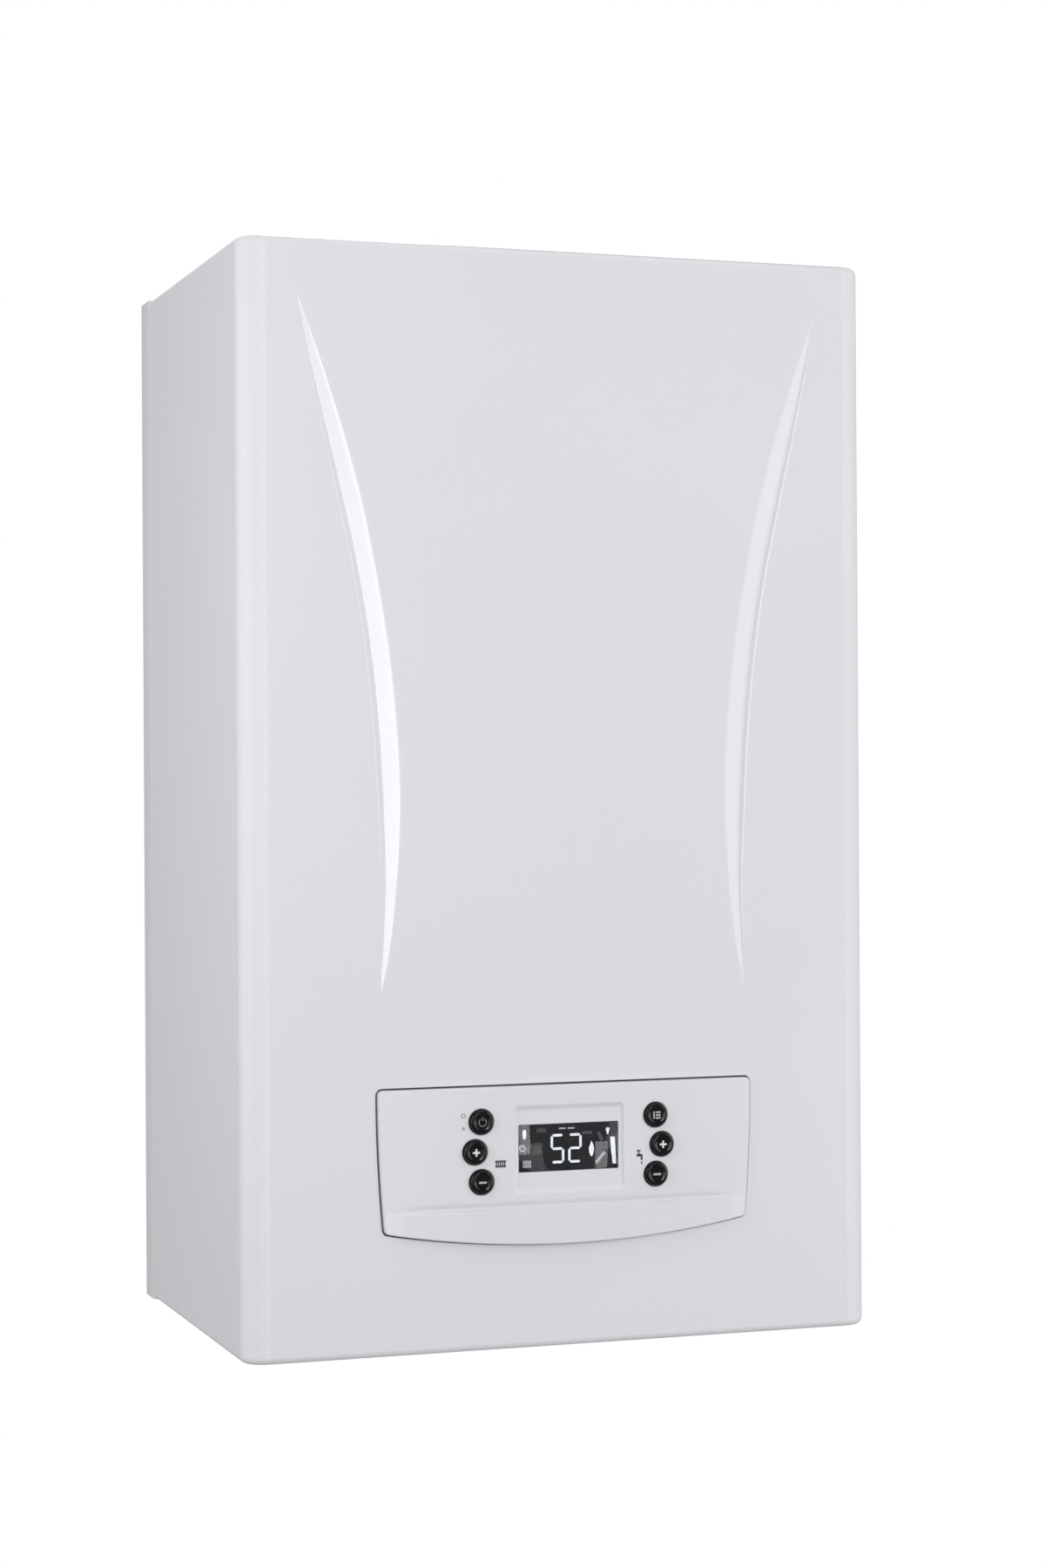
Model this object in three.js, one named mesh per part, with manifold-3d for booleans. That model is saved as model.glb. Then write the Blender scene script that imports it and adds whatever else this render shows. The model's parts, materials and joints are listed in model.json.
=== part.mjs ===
// Wall-hung condensing combi boiler, in millimetres.
// X to the right, Y towards the wall, Z up. The origin is under the middle of the whole
// body, level with the bottom rim of the casing.
import * as THREE from 'three';
import { mergeVertices } from 'three/addons/utils/BufferGeometryUtils.js';
import Module from 'manifold-3d';

const wasm = await Module();
wasm.setup();

// ---------------------------------------------------------------- driving dimensions
const CASE_W = 410;            // casing width
const CASE_H = 678;            // casing height
const WALL_Y = 147.5;          // face against the wall
const FRONT_Y = -140.5;        // flat front of the casing
const SHEET = 1.2;             // casing sheet
const CASE_R = 15;             // vertical front corners
const CASE_BACK_Y = 120;       // rear edge of the casing sides
const FLANGE = 12;             // turned-in top and bottom flanges
const FRAME_T = 1.5;           // rear frame sheet
const FRAME_FRONT_Y = 121;     // front ledge of the rear frame, 1 mm behind the casing
const LIP_X = 199;             // outer face of the frame lips and plates
const LIP_FRONT_Y = 104;
const PLATE_FRONT_Y = -134.5;
const PLATE_BACK_Y = 141.2;
const TOP_Z = 672;             // top plate, upper face
const BOT_Z = 38;              // bottom plate, lower face
const GAP = 0.3;               // play between touching pieces

const FASCIA_TOP_Z = 162;
const FASCIA_TOP_X = 122;
const FASCIA_SIDE_TAPER = 3.8; // each side, over the full height
const FASCIA_LOW_Z = 64.2;     // lowest point of the bottom arc
const FASCIA_ARC = 7.3;        // rise of the bottom arc at x = 97.5
const FASCIA_GAP = 1.0;        // play between fascia and casing
const FASCIA_BACK_Y = -136.6;
const FASCIA_EDGE = 1.9;       // how far its edge stands in front of the casing
const FASCIA_BOW = 3.1;        // extra bow in the middle
const CHIN_Z = 87;             // crease over the chin
const CHIN_EDGE = 2.6, CHIN_BOW = 3.5;

const LCD_X = 32.8, LCD_Z0 = 108.7, LCD_Z1 = 138;          // display opening
const POCKET_X = 35.2, POCKET_Z0 = 97, POCKET_Z1 = 148.5;  // shallow pocket round it
const POCKET_Y = -144;

const BUTTON_R = 7.5, BUTTON_HOLE_R = 8.0, BUTTON_TOP_Y = -147.5;
const BUTTONS = {
  button_left_top: [-57.1, 141.0], button_left_middle: [-61.2, 122.6], button_left_bottom: [-57.1, 104.2],
  button_right_top: [57.1, 141.0], button_right_middle: [61.2, 122.6], button_right_bottom: [57.1, 104.2],
};

const FLUE_X = 0, FLUE_Y = 10, FLUE_TOP_Z = 690;
const FLUE_OUT_R = 52.5, FLUE_OUT_BORE = 50.5, FLUE_IN_R = 31.7, FLUE_IN_BORE = 30.1;

const HX_X = 30, HX_Z = 450, HX_R = 100, HX_FRONT_Y = -20, HX_BACK_Y = 125;
const FAN_X = 30, FAN_Z = 285, FAN_Y0 = -92, FAN_Y1 = -42, FAN_R = 62;
const PUMP_X = 135, PUMP_Z = 215;
const STUB_Y = 55, STUB_LOW_Z = 12;

// crescent flute of the right side: [z, inner x, outer x], mirrored for the left
const FLUTE = [
  [648, 170.4, 170.6], [635, 164.6, 171.6], [568, 143.0, 154.6], [501, 126.4, 138.8], [435, 114.6, 127.2],
  [369, 108.2, 120.4], [303, 107.2, 118.2], [255, 111.8, 119.2], [222, 118.6, 119.0],
];
const FLUTE_DEPTH = 3.0;

// ---------------------------------------------------------------- helpers
const group = new THREE.Group();
group.name = 'combi_boiler';

function toManifold(geometry) {
  let g = geometry.clone();
  for (const k of Object.keys(g.attributes)) if (k !== 'position') g.deleteAttribute(k);
  g = mergeVertices(g, 1e-4);
  const make = (idx) => new wasm.Manifold(new wasm.Mesh({ numProp: 3, vertProperties: new Float32Array(g.attributes.position.array), triVerts: idx }));
  const index = new Uint32Array(g.index.array);
  if (signedVolume(g.attributes.position.array, index) < 0) {
    for (let i = 0; i < index.length; i += 3) { const t = index[i]; index[i] = index[i + 1]; index[i + 1] = t; }
  }
  return make(index);
}
function signedVolume(p, idx) {
  let v = 0;
  for (let i = 0; i < idx.length; i += 3) {
    const a = idx[i] * 3, b = idx[i + 1] * 3, c = idx[i + 2] * 3;
    v += p[a] * (p[b + 1] * p[c + 2] - p[b + 2] * p[c + 1]) - p[a + 1] * (p[b] * p[c + 2] - p[b + 2] * p[c]) + p[a + 2] * (p[b] * p[c + 1] - p[b + 1] * p[c]);
  }
  return v / 6;
}
function fromManifold(m) {
  const mesh = m.getMesh();
  const n = mesh.numProp, count = mesh.vertProperties.length / n;
  const pos = new Float32Array(count * 3);
  for (let i = 0; i < count; i++) for (let k = 0; k < 3; k++) pos[i * 3 + k] = mesh.vertProperties[i * n + k];
  const g = new THREE.BufferGeometry();
  g.setAttribute('position', new THREE.BufferAttribute(pos, 3));
  g.setIndex(new THREE.BufferAttribute(new Uint32Array(mesh.triVerts), 1));
  g.computeVertexNormals();
  return g;
}
// joins a list of solids, then cuts a list of solids from them
function csg(adds, cuts = []) {
  let m = toManifold(adds[0]);
  for (const a of adds.slice(1)) m = m.add(toManifold(a));
  for (const c of cuts) m = m.subtract(toManifold(c));
  return fromManifold(m);
}
function outward(geometry) { return fromManifold(toManifold(geometry)); }

const box = (x0, x1, y0, y1, z0, z1) => new THREE.BoxGeometry(x1 - x0, y1 - y0, z1 - z0).translate((x0 + x1) / 2, (y0 + y1) / 2, (z0 + z1) / 2);
// cylinders by the axis they run along
const cylZ = (x, y, r, z0, z1, n = 24) => new THREE.CylinderGeometry(r, r, z1 - z0, n).rotateX(Math.PI / 2).translate(x, y, (z0 + z1) / 2);
const cylY = (x, z, r, y0, y1, n = 24) => new THREE.CylinderGeometry(r, r, y1 - y0, n).translate(x, (y0 + y1) / 2, z);
const cylX = (y, z, r, x0, x1, n = 24) => new THREE.CylinderGeometry(r, r, x1 - x0, n).rotateZ(Math.PI / 2).translate((x0 + x1) / 2, y, z);
// lathe about a vertical axis at (x, y): profile of [r, z]
const latheZ = (x, y, prof, n = 24) => new THREE.LatheGeometry(prof.map(([r, z]) => new THREE.Vector2(r, z)), n).rotateX(Math.PI / 2).translate(x, y, 0);
// lathe about an axis along Y at (x, z): profile of [r, y]
const latheY = (x, z, prof, n = 24) => new THREE.LatheGeometry(prof.map(([r, y]) => new THREE.Vector2(r, y)), n).translate(x, 0, z);
const shapeOf = (pts) => new THREE.Shape(pts.map(([a, b]) => new THREE.Vector2(a, b)));
// plan outline (x, y) raised from z0 to z1
const prismZ = (pts, z0, z1) => new THREE.ExtrudeGeometry(shapeOf(pts), { depth: z1 - z0, bevelEnabled: false }).translate(0, 0, z0);
// front outline (x, z) run from y0 to y1
const prismY = (pts, y0, y1) => new THREE.ExtrudeGeometry(shapeOf(pts), { depth: y1 - y0, bevelEnabled: false }).rotateX(Math.PI / 2).scale(1, 1, 1).translate(0, y1, 0);
// side outline (y, z) run from x0 to x1
function prismX(pts, x0, x1) {
  const g = new THREE.ExtrudeGeometry(shapeOf(pts), { depth: x1 - x0, bevelEnabled: false });
  const m = new THREE.Matrix4().set(0, 0, 1, x0, 1, 0, 0, 0, 0, 1, 0, 0, 0, 0, 0, 1);
  return g.applyMatrix4(m);
}
const mirrored = (pts) => [...pts, ...pts.slice().reverse().map(([x, y]) => [-x, y]).filter(([x]) => x !== 0)];
const arc = (cx, cy, r, a0, a1, n) => Array.from({ length: n + 1 }, (_, i) => {
  const a = (a0 + (a1 - a0) * i / n) * Math.PI / 180;
  return [cx + r * Math.cos(a), cy + r * Math.sin(a)];
});
// polyline with its inner corners rounded to radius rad
function fillet(points, rad, n = 5) {
  const P = points.map((p) => new THREE.Vector3(...p)), out = [P[0]];
  for (let i = 1; i < P.length - 1; i++) {
    const a = P[i - 1].clone().sub(P[i]).normalize(), b = P[i + 1].clone().sub(P[i]).normalize();
    const s = P[i].clone().addScaledVector(a, rad), e = P[i].clone().addScaledVector(b, rad);
    for (let k = 0; k <= n; k++) {
      const t = k / n;
      out.push(s.clone().multiplyScalar((1 - t) * (1 - t)).addScaledVector(P[i], 2 * t * (1 - t)).addScaledVector(e, t * t));
    }
  }
  out.push(P[P.length - 1]);
  return out;
}
// a curve that a sweep follows through exactly these points
class Route extends THREE.Curve {
  constructor(points) {
    super();
    this.points = points;
  }
  getPoint(t) {
    const n = this.points.length - 1, i = Math.min(Math.floor(t * n), n - 1);
    return this.points[i].clone().lerp(this.points[i + 1], t * n - i);
  }
  getPointAt(u) { return this.getPoint(u); }
  getSpacedPoints() { return this.points.map((p) => p.clone()); }
  getTangentAt(u) {
    const n = this.points.length - 1, i = Math.round(u * n);
    return this.points[Math.min(i + 1, n)].clone().sub(this.points[Math.max(i - 1, 0)]).normalize();
  }
}
const circle = (r, n) => { const s = new THREE.Shape(); for (let i = 0; i < n; i++) { const a = i * 2 * Math.PI / n; if (i) s.lineTo(r * Math.cos(a), r * Math.sin(a)); else s.moveTo(r * Math.cos(a), r * Math.sin(a)); } return s; };
function pipe(points, r, steps, rad = 24, n = 12, bore = 0) {
  const s = circle(r, n);
  if (bore) { const h = new THREE.Path(); circle(bore, n).getPoints().reverse().forEach((p, i) => (i ? h.lineTo(p.x, p.y) : h.moveTo(p.x, p.y))); s.holes.push(h); }
  const route = rad ? fillet(points, rad) : new THREE.CatmullRomCurve3(points.map((p) => new THREE.Vector3(...p))).getSpacedPoints(steps);
  return outward(new THREE.ExtrudeGeometry(s, { extrudePath: new Route(route), steps: route.length - 1, bevelEnabled: false, curveSegments: 1 }));
}

function material(hex, roughness, metalness = 0, opacity = 1) {
  return new THREE.MeshStandardMaterial({ color: hex, roughness, metalness, opacity, transparent: opacity < 1 });
}
function add(parent, name, geometry, mat) {
  const mesh = new THREE.Mesh(geometry, mat);
  mesh.name = name;
  parent.add(mesh);
  return mesh;
}
const white = () => material(0xe6e6ea, 0.35);
const galv = () => material(0xb4b8bb, 0.45, 0.8);
const steel = () => material(0xa9adb0, 0.3, 0.9);
const brass = () => material(0xb9975b, 0.35, 0.9);
const copper = () => material(0xb87350, 0.35, 0.9);
const black = () => material(0x17171a, 0.35);
const grey = () => material(0x55585c, 0.6);
const rubber = () => material(0x1f1f20, 0.85);
const foam = () => material(0x3a3a3c, 0.95);

// ---------------------------------------------------------------- casing
const hw = CASE_W / 2;
// plan outline of the casing, inset by d from the outer face, open end carried to yb
function casePlan(d, yb, r = CASE_R) {
  const x = hw - d, y = FRONT_Y + d, rr = Math.max(r - d, 0.5);
  return [[x, yb], ...arc(x - rr, y + rr, rr, 0, -90, 6), ...arc(-x + rr, y + rr, rr, -90, -180, 6), [-x, yb]].reverse();
}
function fasciaOutline(off) {
  const pts = [];
  const sideX = (z) => FASCIA_TOP_X - FASCIA_SIDE_TAPER * ((FASCIA_TOP_Z - z) / 86) ** 2 + off;
  const arcZ = (x) => FASCIA_LOW_Z + FASCIA_ARC * (x / 97.5) ** 2 - off;
  const top = FASCIA_TOP_Z + off, c = 2.5 + Math.max(off, 0);
  for (let i = 0; i <= 3; i++) { const a = i / 3 * Math.PI / 2; pts.push([FASCIA_TOP_X + off - c + c * Math.sin(a), top - c + c * Math.cos(a)]); }
  for (const z of [140, 120, 102, 90, 81]) pts.push([sideX(z), z]);
  const xc = sideX(76) - 3.5;
  pts.push([sideX(77.5) - 0.6, 77.2]);
  for (const x of [xc + 0.6, xc - 3, 97.5, 80, 62, 44, 26, 9]) pts.push([x, arcZ(x) + (x > xc ? 0.9 : 0)]);
  return mirrored(pts);
}
function fluteOutline(side, grow) {
  const a = FLUTE.map(([z, xi, xo], i) => [side * (xi - grow), z + (i === 0 ? grow * 2 : i === FLUTE.length - 1 ? -grow * 2 : 0)]);
  const b = FLUTE.map(([z, xi, xo], i) => [side * (xo + grow), z + (i === 0 ? grow * 2 : i === FLUTE.length - 1 ? -grow * 2 : 0)]).reverse();
  return [...a, ...b];
}
const casing = new THREE.Group();
group.add(casing);
{
  const inner = casePlan(SHEET, CASE_BACK_Y + 5);
  const open = casePlan(FLANGE, CASE_BACK_Y + 5, 18);
  const adds = [prismZ(casePlan(0, CASE_BACK_Y), 0, CASE_H)];
  let m = toManifold(adds[0]);
  m = m.subtract(toManifold(prismZ(inner, SHEET, CASE_H - SHEET)));
  m = m.subtract(toManifold(prismZ(open, -1, CASE_H + 1)));
  for (const s of [-1, 1]) {
    m = m.add(toManifold(prismY(fluteOutline(s, SHEET), FRONT_Y + SHEET / 2, FRONT_Y + FLUTE_DEPTH + SHEET)));
    m = m.subtract(toManifold(prismY(fluteOutline(s, 0), FRONT_Y - 1, FRONT_Y + FLUTE_DEPTH)));
    // raised ear for the captive screw
    m = m.add(toManifold(box(s * 150 - 10, s * 150 + 10, -130, -128.6, 0.1, 5.5)));
    m = m.add(toManifold(box(s * 150 - 10, s * 150 + 10, -130, -105, 4.1, 5.5)));
    m = m.subtract(toManifold(cylZ(s * 150, -115, 2.5, 3, 7, 16)));
  }
  m = m.subtract(toManifold(prismY(fasciaOutline(FASCIA_GAP), FRONT_Y - 2, FRONT_Y + 4)));
  add(casing, 'front_casing', fromManifold(m), white());
}
for (const [s, n] of [[-1, 'casing_screw_left'], [1, 'casing_screw_right']]) {
  add(casing, n, csg([latheZ(s * 150, -115, [[0, 0.8], [4.2, 0.8], [5, 1.8], [5, 3.7], [2, 3.7], [2, 12], [1.2, 13.5], [0, 13.5]], 16)], [box(s * 150 - 3.4, s * 150 + 3.4, -115.7, -114.3, 0, 2)]), steel());
}

// ---------------------------------------------------------------- rear frame, plates, seal, bracket
const frame = new THREE.Group();
group.add(frame);
{
  const half = [[0, 143], [177.5, 143], [180, WALL_Y], [hw, WALL_Y], [hw, FRAME_FRONT_Y], [LIP_X, FRAME_FRONT_Y], [LIP_X, LIP_FRONT_Y],
    [LIP_X - FRAME_T, LIP_FRONT_Y], [LIP_X - FRAME_T, FRAME_FRONT_Y + FRAME_T], [hw - FRAME_T, FRAME_FRONT_Y + FRAME_T], [hw - FRAME_T, WALL_Y - FRAME_T],
    [181, WALL_Y - FRAME_T], [178.5, 141.5], [0, 141.5]];
  const outer = half.slice(0, 7), inner = half.slice(7);
  const loop = [...outer, ...inner, ...inner.slice().reverse().slice(1).map(([x, y]) => [-x, y]), ...outer.slice().reverse().map(([x, y]) => [-x, y]).slice(0, -1)];
  const slots = [-1, 1].map((s) => box(s * 110 - 20, s * 110 + 20, 140, 145, 603, 621.8));
  // the lips stop short of the casing's turned-in flanges
  const ends = [box(-210, 210, 100, 120.7, -1, 2), box(-210, 210, 100, 120.7, CASE_H - 2, CASE_H + 1)];
  add(frame, 'rear_frame', csg([prismZ(loop, 0, CASE_H)], [...slots, ...ends]), white());
}
// plan outline of the plates, inset by d: front corners rounded, notched round the frame lips, wide again behind them
function platePlan(d, yb = PLATE_BACK_Y) {
  const x = LIP_X - d, y = PLATE_FRONT_Y + d, r = 9 - Math.min(d, 8);
  const neck = LIP_X - FRAME_T - GAP - d, wide = hw - FRAME_T - GAP - d;
  const side = [[wide, yb], [wide, FRAME_FRONT_Y + FRAME_T + GAP + d], [neck, FRAME_FRONT_Y + FRAME_T + GAP + d], [neck, LIP_FRONT_Y - GAP - d], [x, LIP_FRONT_Y - GAP - d]];
  return [...side, ...arc(x - r, y + r, r, 0, -90, 4), ...arc(-x + r, y + r, r, -90, -180, 4), ...side.slice().reverse().map(([px, py]) => [-px, py])].reverse();
}
{
  const hollow = platePlan(FRAME_T, PLATE_BACK_Y + 5);
  add(frame, 'top_plate', csg([prismZ(platePlan(0), TOP_Z - 12, TOP_Z)], [prismZ(hollow, TOP_Z - 13, TOP_Z - FRAME_T), cylZ(FLUE_X, FLUE_Y, FLUE_OUT_R + 0.9, TOP_Z - 5, TOP_Z + 1, 24)]), galv());
}
const STUBS = {
  heating_flow_stub: [-130, 13.2, 9, brass], hot_water_stub: [-65, 10.4, 7, brass], gas_stub: [0, 13.2, 9, brass],
  cold_water_stub: [65, 10.4, 7, brass], heating_return_stub: [130, 13.2, 9, brass],
};
const TRAP = [-150, -35], FILL = [108, 28], GLAND = [178, 60];
{
  const hollow = platePlan(FRAME_T, PLATE_BACK_Y + 5);
  const holes = Object.values(STUBS).map(([x, r]) => cylZ(x, STUB_Y, r + 0.6, BOT_Z - 2, BOT_Z + 4, 14));
  holes.push(cylZ(...TRAP, 9.8, BOT_Z - 2, BOT_Z + 4, 14), cylZ(...FILL, 9.8, BOT_Z - 2, BOT_Z + 4, 14), cylZ(...GLAND, 8.6, BOT_Z - 2, BOT_Z + 4, 12));
  const legs = [], slots = [];
  for (const s of [-1, 1]) {
    legs.push(box(s * 150 - 10, s * 150 + 10, -103, -101, 6.5, BOT_Z + 0.5), box(s * 150 - 10, s * 150 + 10, -125, -101, 6.5, 8.5));
    slots.push(box(s * 150 - 2.6, s * 150 + 2.6, -126, -112, 6, 9));
  }
  add(frame, 'bottom_plate', csg([prismZ(platePlan(0), BOT_Z, BOT_Z + 12), ...legs], [prismZ(hollow, BOT_Z + FRAME_T, BOT_Z + 13), ...holes, ...slots]), galv());
}
{
  // one foam loop: round the edge of both plates, and up both frame lips
  const o = casePlan(SHEET + GAP, 116), i = casePlan(hw - LIP_X - GAP, 117, CASE_R);
  const strip = (z0, z1) => [prismZ(o, z0, z1), prismZ(i.map(([x, y]) => [x, y > 100 ? 120 : y]), z0 - 1, z1 + 1)];
  const [a, b] = strip(TOP_Z - 12, TOP_Z - 2), [c, d] = strip(BOT_Z + 2, BOT_Z + 12);
  let m = toManifold(a).subtract(toManifold(b)).add(toManifold(c).subtract(toManifold(d)));
  for (const s of [-1, 1]) m = m.add(toManifold(s > 0 ? box(LIP_X + GAP, hw - SHEET - GAP, 106, 116, BOT_Z + 5, TOP_Z - 5) : box(-(hw - SHEET - GAP), -(LIP_X + GAP), 106, 116, BOT_Z + 5, TOP_Z - 5)));
  add(frame, 'casing_seal', fromManifold(m), foam());
}
{
  const hooks = [];
  for (const s of [-1, 1]) hooks.push(box(s * 110 - 15, s * 110 + 15, 133.5, 146, 619, 621.5), box(s * 110 - 15, s * 110 + 15, 133.5, 136, 619, 634));
  add(frame, 'wall_bracket', csg([box(-150, 150, 145, WALL_Y, 585, 635), ...hooks], [cylY(-60, 600, 4.5, 144, 149, 20), cylY(60, 600, 4.5, 144, 149, 20)]), galv());
}

// ---------------------------------------------------------------- controls
const controls = new THREE.Group();
group.add(controls);
{
  const bow = (edge, b, z0, z1) => {
    const pts = [[125, FASCIA_BACK_Y]];
    for (let i = 0; i <= 12; i++) { const x = 125 - i * 250 / 12; pts.push([x, FRONT_Y - edge - b * (1 - (x / 125) ** 2)]); }
    pts.push([-125, FASCIA_BACK_Y]);
    return prismZ(pts.reverse(), z0, z1);
  };
  let m = toManifold(prismY(fasciaOutline(0), -150, FASCIA_BACK_Y)).intersect(toManifold(bow(FASCIA_EDGE, FASCIA_BOW, 60, 170)).add(toManifold(bow(CHIN_EDGE, CHIN_BOW, 60, CHIN_Z))));
  m = m.subtract(toManifold(prismY(fasciaOutline(-2.5), -141, -130)));
  m = m.subtract(toManifold(box(-POCKET_X, POCKET_X, -150, POCKET_Y, POCKET_Z0, POCKET_Z1)));
  m = m.subtract(toManifold(box(-LCD_X, LCD_X, -150, -130, LCD_Z0, LCD_Z1)));
  for (const [x, z] of Object.values(BUTTONS)) m = m.subtract(toManifold(cylY(x, z, BUTTON_HOLE_R, -150, -130, 16)));
  add(controls, 'control_fascia', fromManifold(m), white());
}
add(controls, 'display_window', box(-LCD_X + GAP, LCD_X - GAP, -143.7, -141.3, LCD_Z0 + GAP, LCD_Z1 - GAP), material(0x202226, 0.05, 0, 0.35));
add(controls, 'display_module', csg([box(-36, 36, -140.6, -136.3, 104, 142.7)], [box(-31.5, 31.5, -141, -140.2, 110, 136.8)]), black());
add(controls, 'display_board', csg([box(-78, 78, -136, -134.4, 90, 152)], [cylY(-73, 147, 1.6, -137, -134, 12), cylY(73, 147, 1.6, -137, -134, 12), cylY(-73, 95, 1.6, -137, -134, 12), cylY(73, 95, 1.6, -137, -134, 12)]), material(0x1f5b3a, 0.5));
for (const [name, [x, z]] of Object.entries(BUTTONS)) {
  const p = [[0, BUTTON_TOP_Y], [4.6, BUTTON_TOP_Y + 0.45], [BUTTON_R, BUTTON_TOP_Y + 2.0], [BUTTON_R, -140.6], [9.2, -140.6], [9.2, -139.4], [3, -139.4], [3, -137.5], [0, -137.5]];
  add(controls, name, outward(latheY(x, z, p, 16)), black());
}
add(controls, 'control_box', csg([box(-150, 150, -136.3, -78, 52, 176)], [box(-147.5, 147.5, -133.8, -77, 54.5, 173.5), box(-116, 116, -137, -133, 70, 156)]), grey());
add(controls, 'control_box_cover', csg([box(-150, 150, -77.7, -75.5, 52, 176), box(-146, -142, -83, -77, 90, 138), box(142, 146, -83, -77, 90, 138)]), grey());
add(controls, 'main_board', csg([box(-138, 138, -95.6, -94, 58, 170), box(-128, -92, -120, -95, 66, 100), box(-82, -66, -112, -95, 66, 92), box(-60, -44, -112, -95, 66, 92), box(-38, -22, -112, -95, 66, 92), cylY(10, 80, 9, -122, -95, 16), box(40, 100, -106, -95, 120, 132), box(90, 128, -110, -95, 62, 90)]), material(0x1f5b3a, 0.5));

// ---------------------------------------------------------------- flue
const flue = new THREE.Group();
group.add(flue);
{
  const outer = latheZ(FLUE_X, FLUE_Y, [[FLUE_OUT_BORE, 655], [FLUE_OUT_R, 655], [FLUE_OUT_R, 674.3], [67, 674.3], [67, 676.3], [FLUE_OUT_R, 676.3], [FLUE_OUT_R, FLUE_TOP_Z], [FLUE_OUT_BORE, FLUE_TOP_Z], [FLUE_OUT_BORE, 655]], 24);
  const inner = latheZ(FLUE_X, FLUE_Y, [[FLUE_IN_BORE, 640], [FLUE_IN_R, 640], [FLUE_IN_R, 688], [FLUE_IN_BORE, 688], [FLUE_IN_BORE, 640]], 20);
  const webs = [90, 210, 330].map((deg) => box(FLUE_IN_R - 0.8, FLUE_OUT_BORE + 1, -1.5, 1.5, 656, 664).rotateZ(deg * Math.PI / 180).translate(FLUE_X, FLUE_Y, 0));
  add(flue, 'flue_socket', csg([outer, inner, ...webs]), white());
}
add(flue, 'flue_gasket', outward(latheZ(FLUE_X, FLUE_Y, [[54, TOP_Z + GAP], [66, TOP_Z + GAP], [66, 674], [54, 674], [54, TOP_Z + GAP]], 24)), rubber());
add(flue, 'flue_duct', pipe([[HX_X, 40, 565.3], [HX_X, 40, 575], [24, 34, 590], [15, 25, 602.5], [6, 16, 615], [0, 10, 630], [0, 10, 639.7]], 30, 9, 0, 14, 28.4), material(0xd8d8d8, 0.5));

// ---------------------------------------------------------------- heat exchanger and burner
const core = new THREE.Group();
group.add(core);
{
  const adds = [cylY(HX_X, HX_Z, HX_R, HX_FRONT_Y, HX_BACK_Y, 28), cylX(60, 400, 11, -92, -50, 12), cylX(41, 400, 11, 110, 140, 12), cylZ(HX_X, 40, 31, 540, 565, 18), cylZ(0, 100, 9, 335, 362, 12)];
  const cuts = [cylY(HX_X, HX_Z, HX_R - 3, HX_FRONT_Y - 1, HX_BACK_Y - 3, 28), cylZ(HX_X, 40, 28.5, 530, 566, 18)];
  add(core, 'heat_exchanger_shell', csg(adds, cuts), steel());
}
{
  const prof = [[60, -12]], n = 6, pitch = 20.2;
  for (let i = 0; i < n; i++) { const y = -12 + i * pitch; prof.push([93, y], [93, y + pitch - 3], [88, y + pitch - 1.5]); }
  prof.push([60, -12 + n * pitch - 1.5], [60, -12]);
  add(core, 'heat_exchanger_coil', outward(latheY(HX_X, HX_Z, prof, 20)), steel());
}
add(core, 'burner_tube', outward(latheY(HX_X, HX_Z, [[32.4, -22], [40, -22], [40, -20], [34, -20], [34, 90], [0, 90], [0, 88.4], [32.4, 88.4], [32.4, -22]], 16)), steel());
add(core, 'burner_door_gasket', outward(latheY(HX_X, HX_Z, [[92, -22], [100, -22], [100, -20.3], [92, -20.3], [92, -22]], 24)), material(0xd9d4c8, 0.9));
{
  const adds = [cylY(HX_X, HX_Z, 98, -30, -22.3, 24), box(56, 92, -88, -29, 345.3, 420)];
  const cuts = [box(59, 89, -85, -32, 344, 417), box(32, 60, -60, -32, 400, 417), cylY(HX_X, HX_Z, 30, -31, -21, 24), cylY(-3, 418, 4.6, -31, -21, 12)];
  const duct = [box(12, 92, -62, -29, 396, 470)], hollow = [box(15, 89, -59, -28, 399, 467)];
  add(core, 'burner_door', csg([...adds, ...duct], [...cuts, ...hollow.map((g) => g)]), material(0x9a9ea2, 0.5, 0.8));
}
add(core, 'ignition_electrode', outward(latheY(-3, 418, [[0, -50], [2.4, -50], [2.4, -40], [4, -40], [4, -16], [1.2, -15], [1.2, 8], [0, 8]], 12)), material(0xe8e4da, 0.5));

// ---------------------------------------------------------------- fan, mixer, gas
const air = new THREE.Group();
group.add(air);
add(air, 'fan_housing', csg([cylY(FAN_X, FAN_Z, FAN_R, FAN_Y0, FAN_Y1, 24), box(56, 92, -88, -46, FAN_Z, 345)], [cylY(FAN_X, FAN_Z, 54, FAN_Y0 + 3, FAN_Y1 - 3, 24), box(59, 89, -85, -49, FAN_Z, 346), cylY(FAN_X, FAN_Z, 21, FAN_Y1 - 5, FAN_Y1 + 1, 16), cylY(FAN_X, FAN_Z, 5, FAN_Y0 - 1, FAN_Y0 + 5, 16)]), material(0xa2a5a8, 0.5, 0.8));
{
  const blades = [];
  for (let i = 0; i < 9; i++) blades.push(box(16, 48, -1, 1, 0, 20).rotateZ(0.35).rotateX(Math.PI / 2).translate(0, -57, 0).rotateY(i * 2 * Math.PI / 9).translate(FAN_X, 0, FAN_Z));
  add(air, 'fan_impeller', csg([cylY(FAN_X, FAN_Z, 48, -80, -77, 20), cylY(FAN_X, FAN_Z, 18, -79, -60, 14), cylY(FAN_X, FAN_Z, 3.5, -118, -70, 12), ...blades]), black());
}
add(air, 'fan_motor', csg([cylY(FAN_X, FAN_Z, 36, -130, FAN_Y0 - GAP, 28)], [cylY(FAN_X, FAN_Z, 4.2, -121, -90, 16)]), black());
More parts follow.
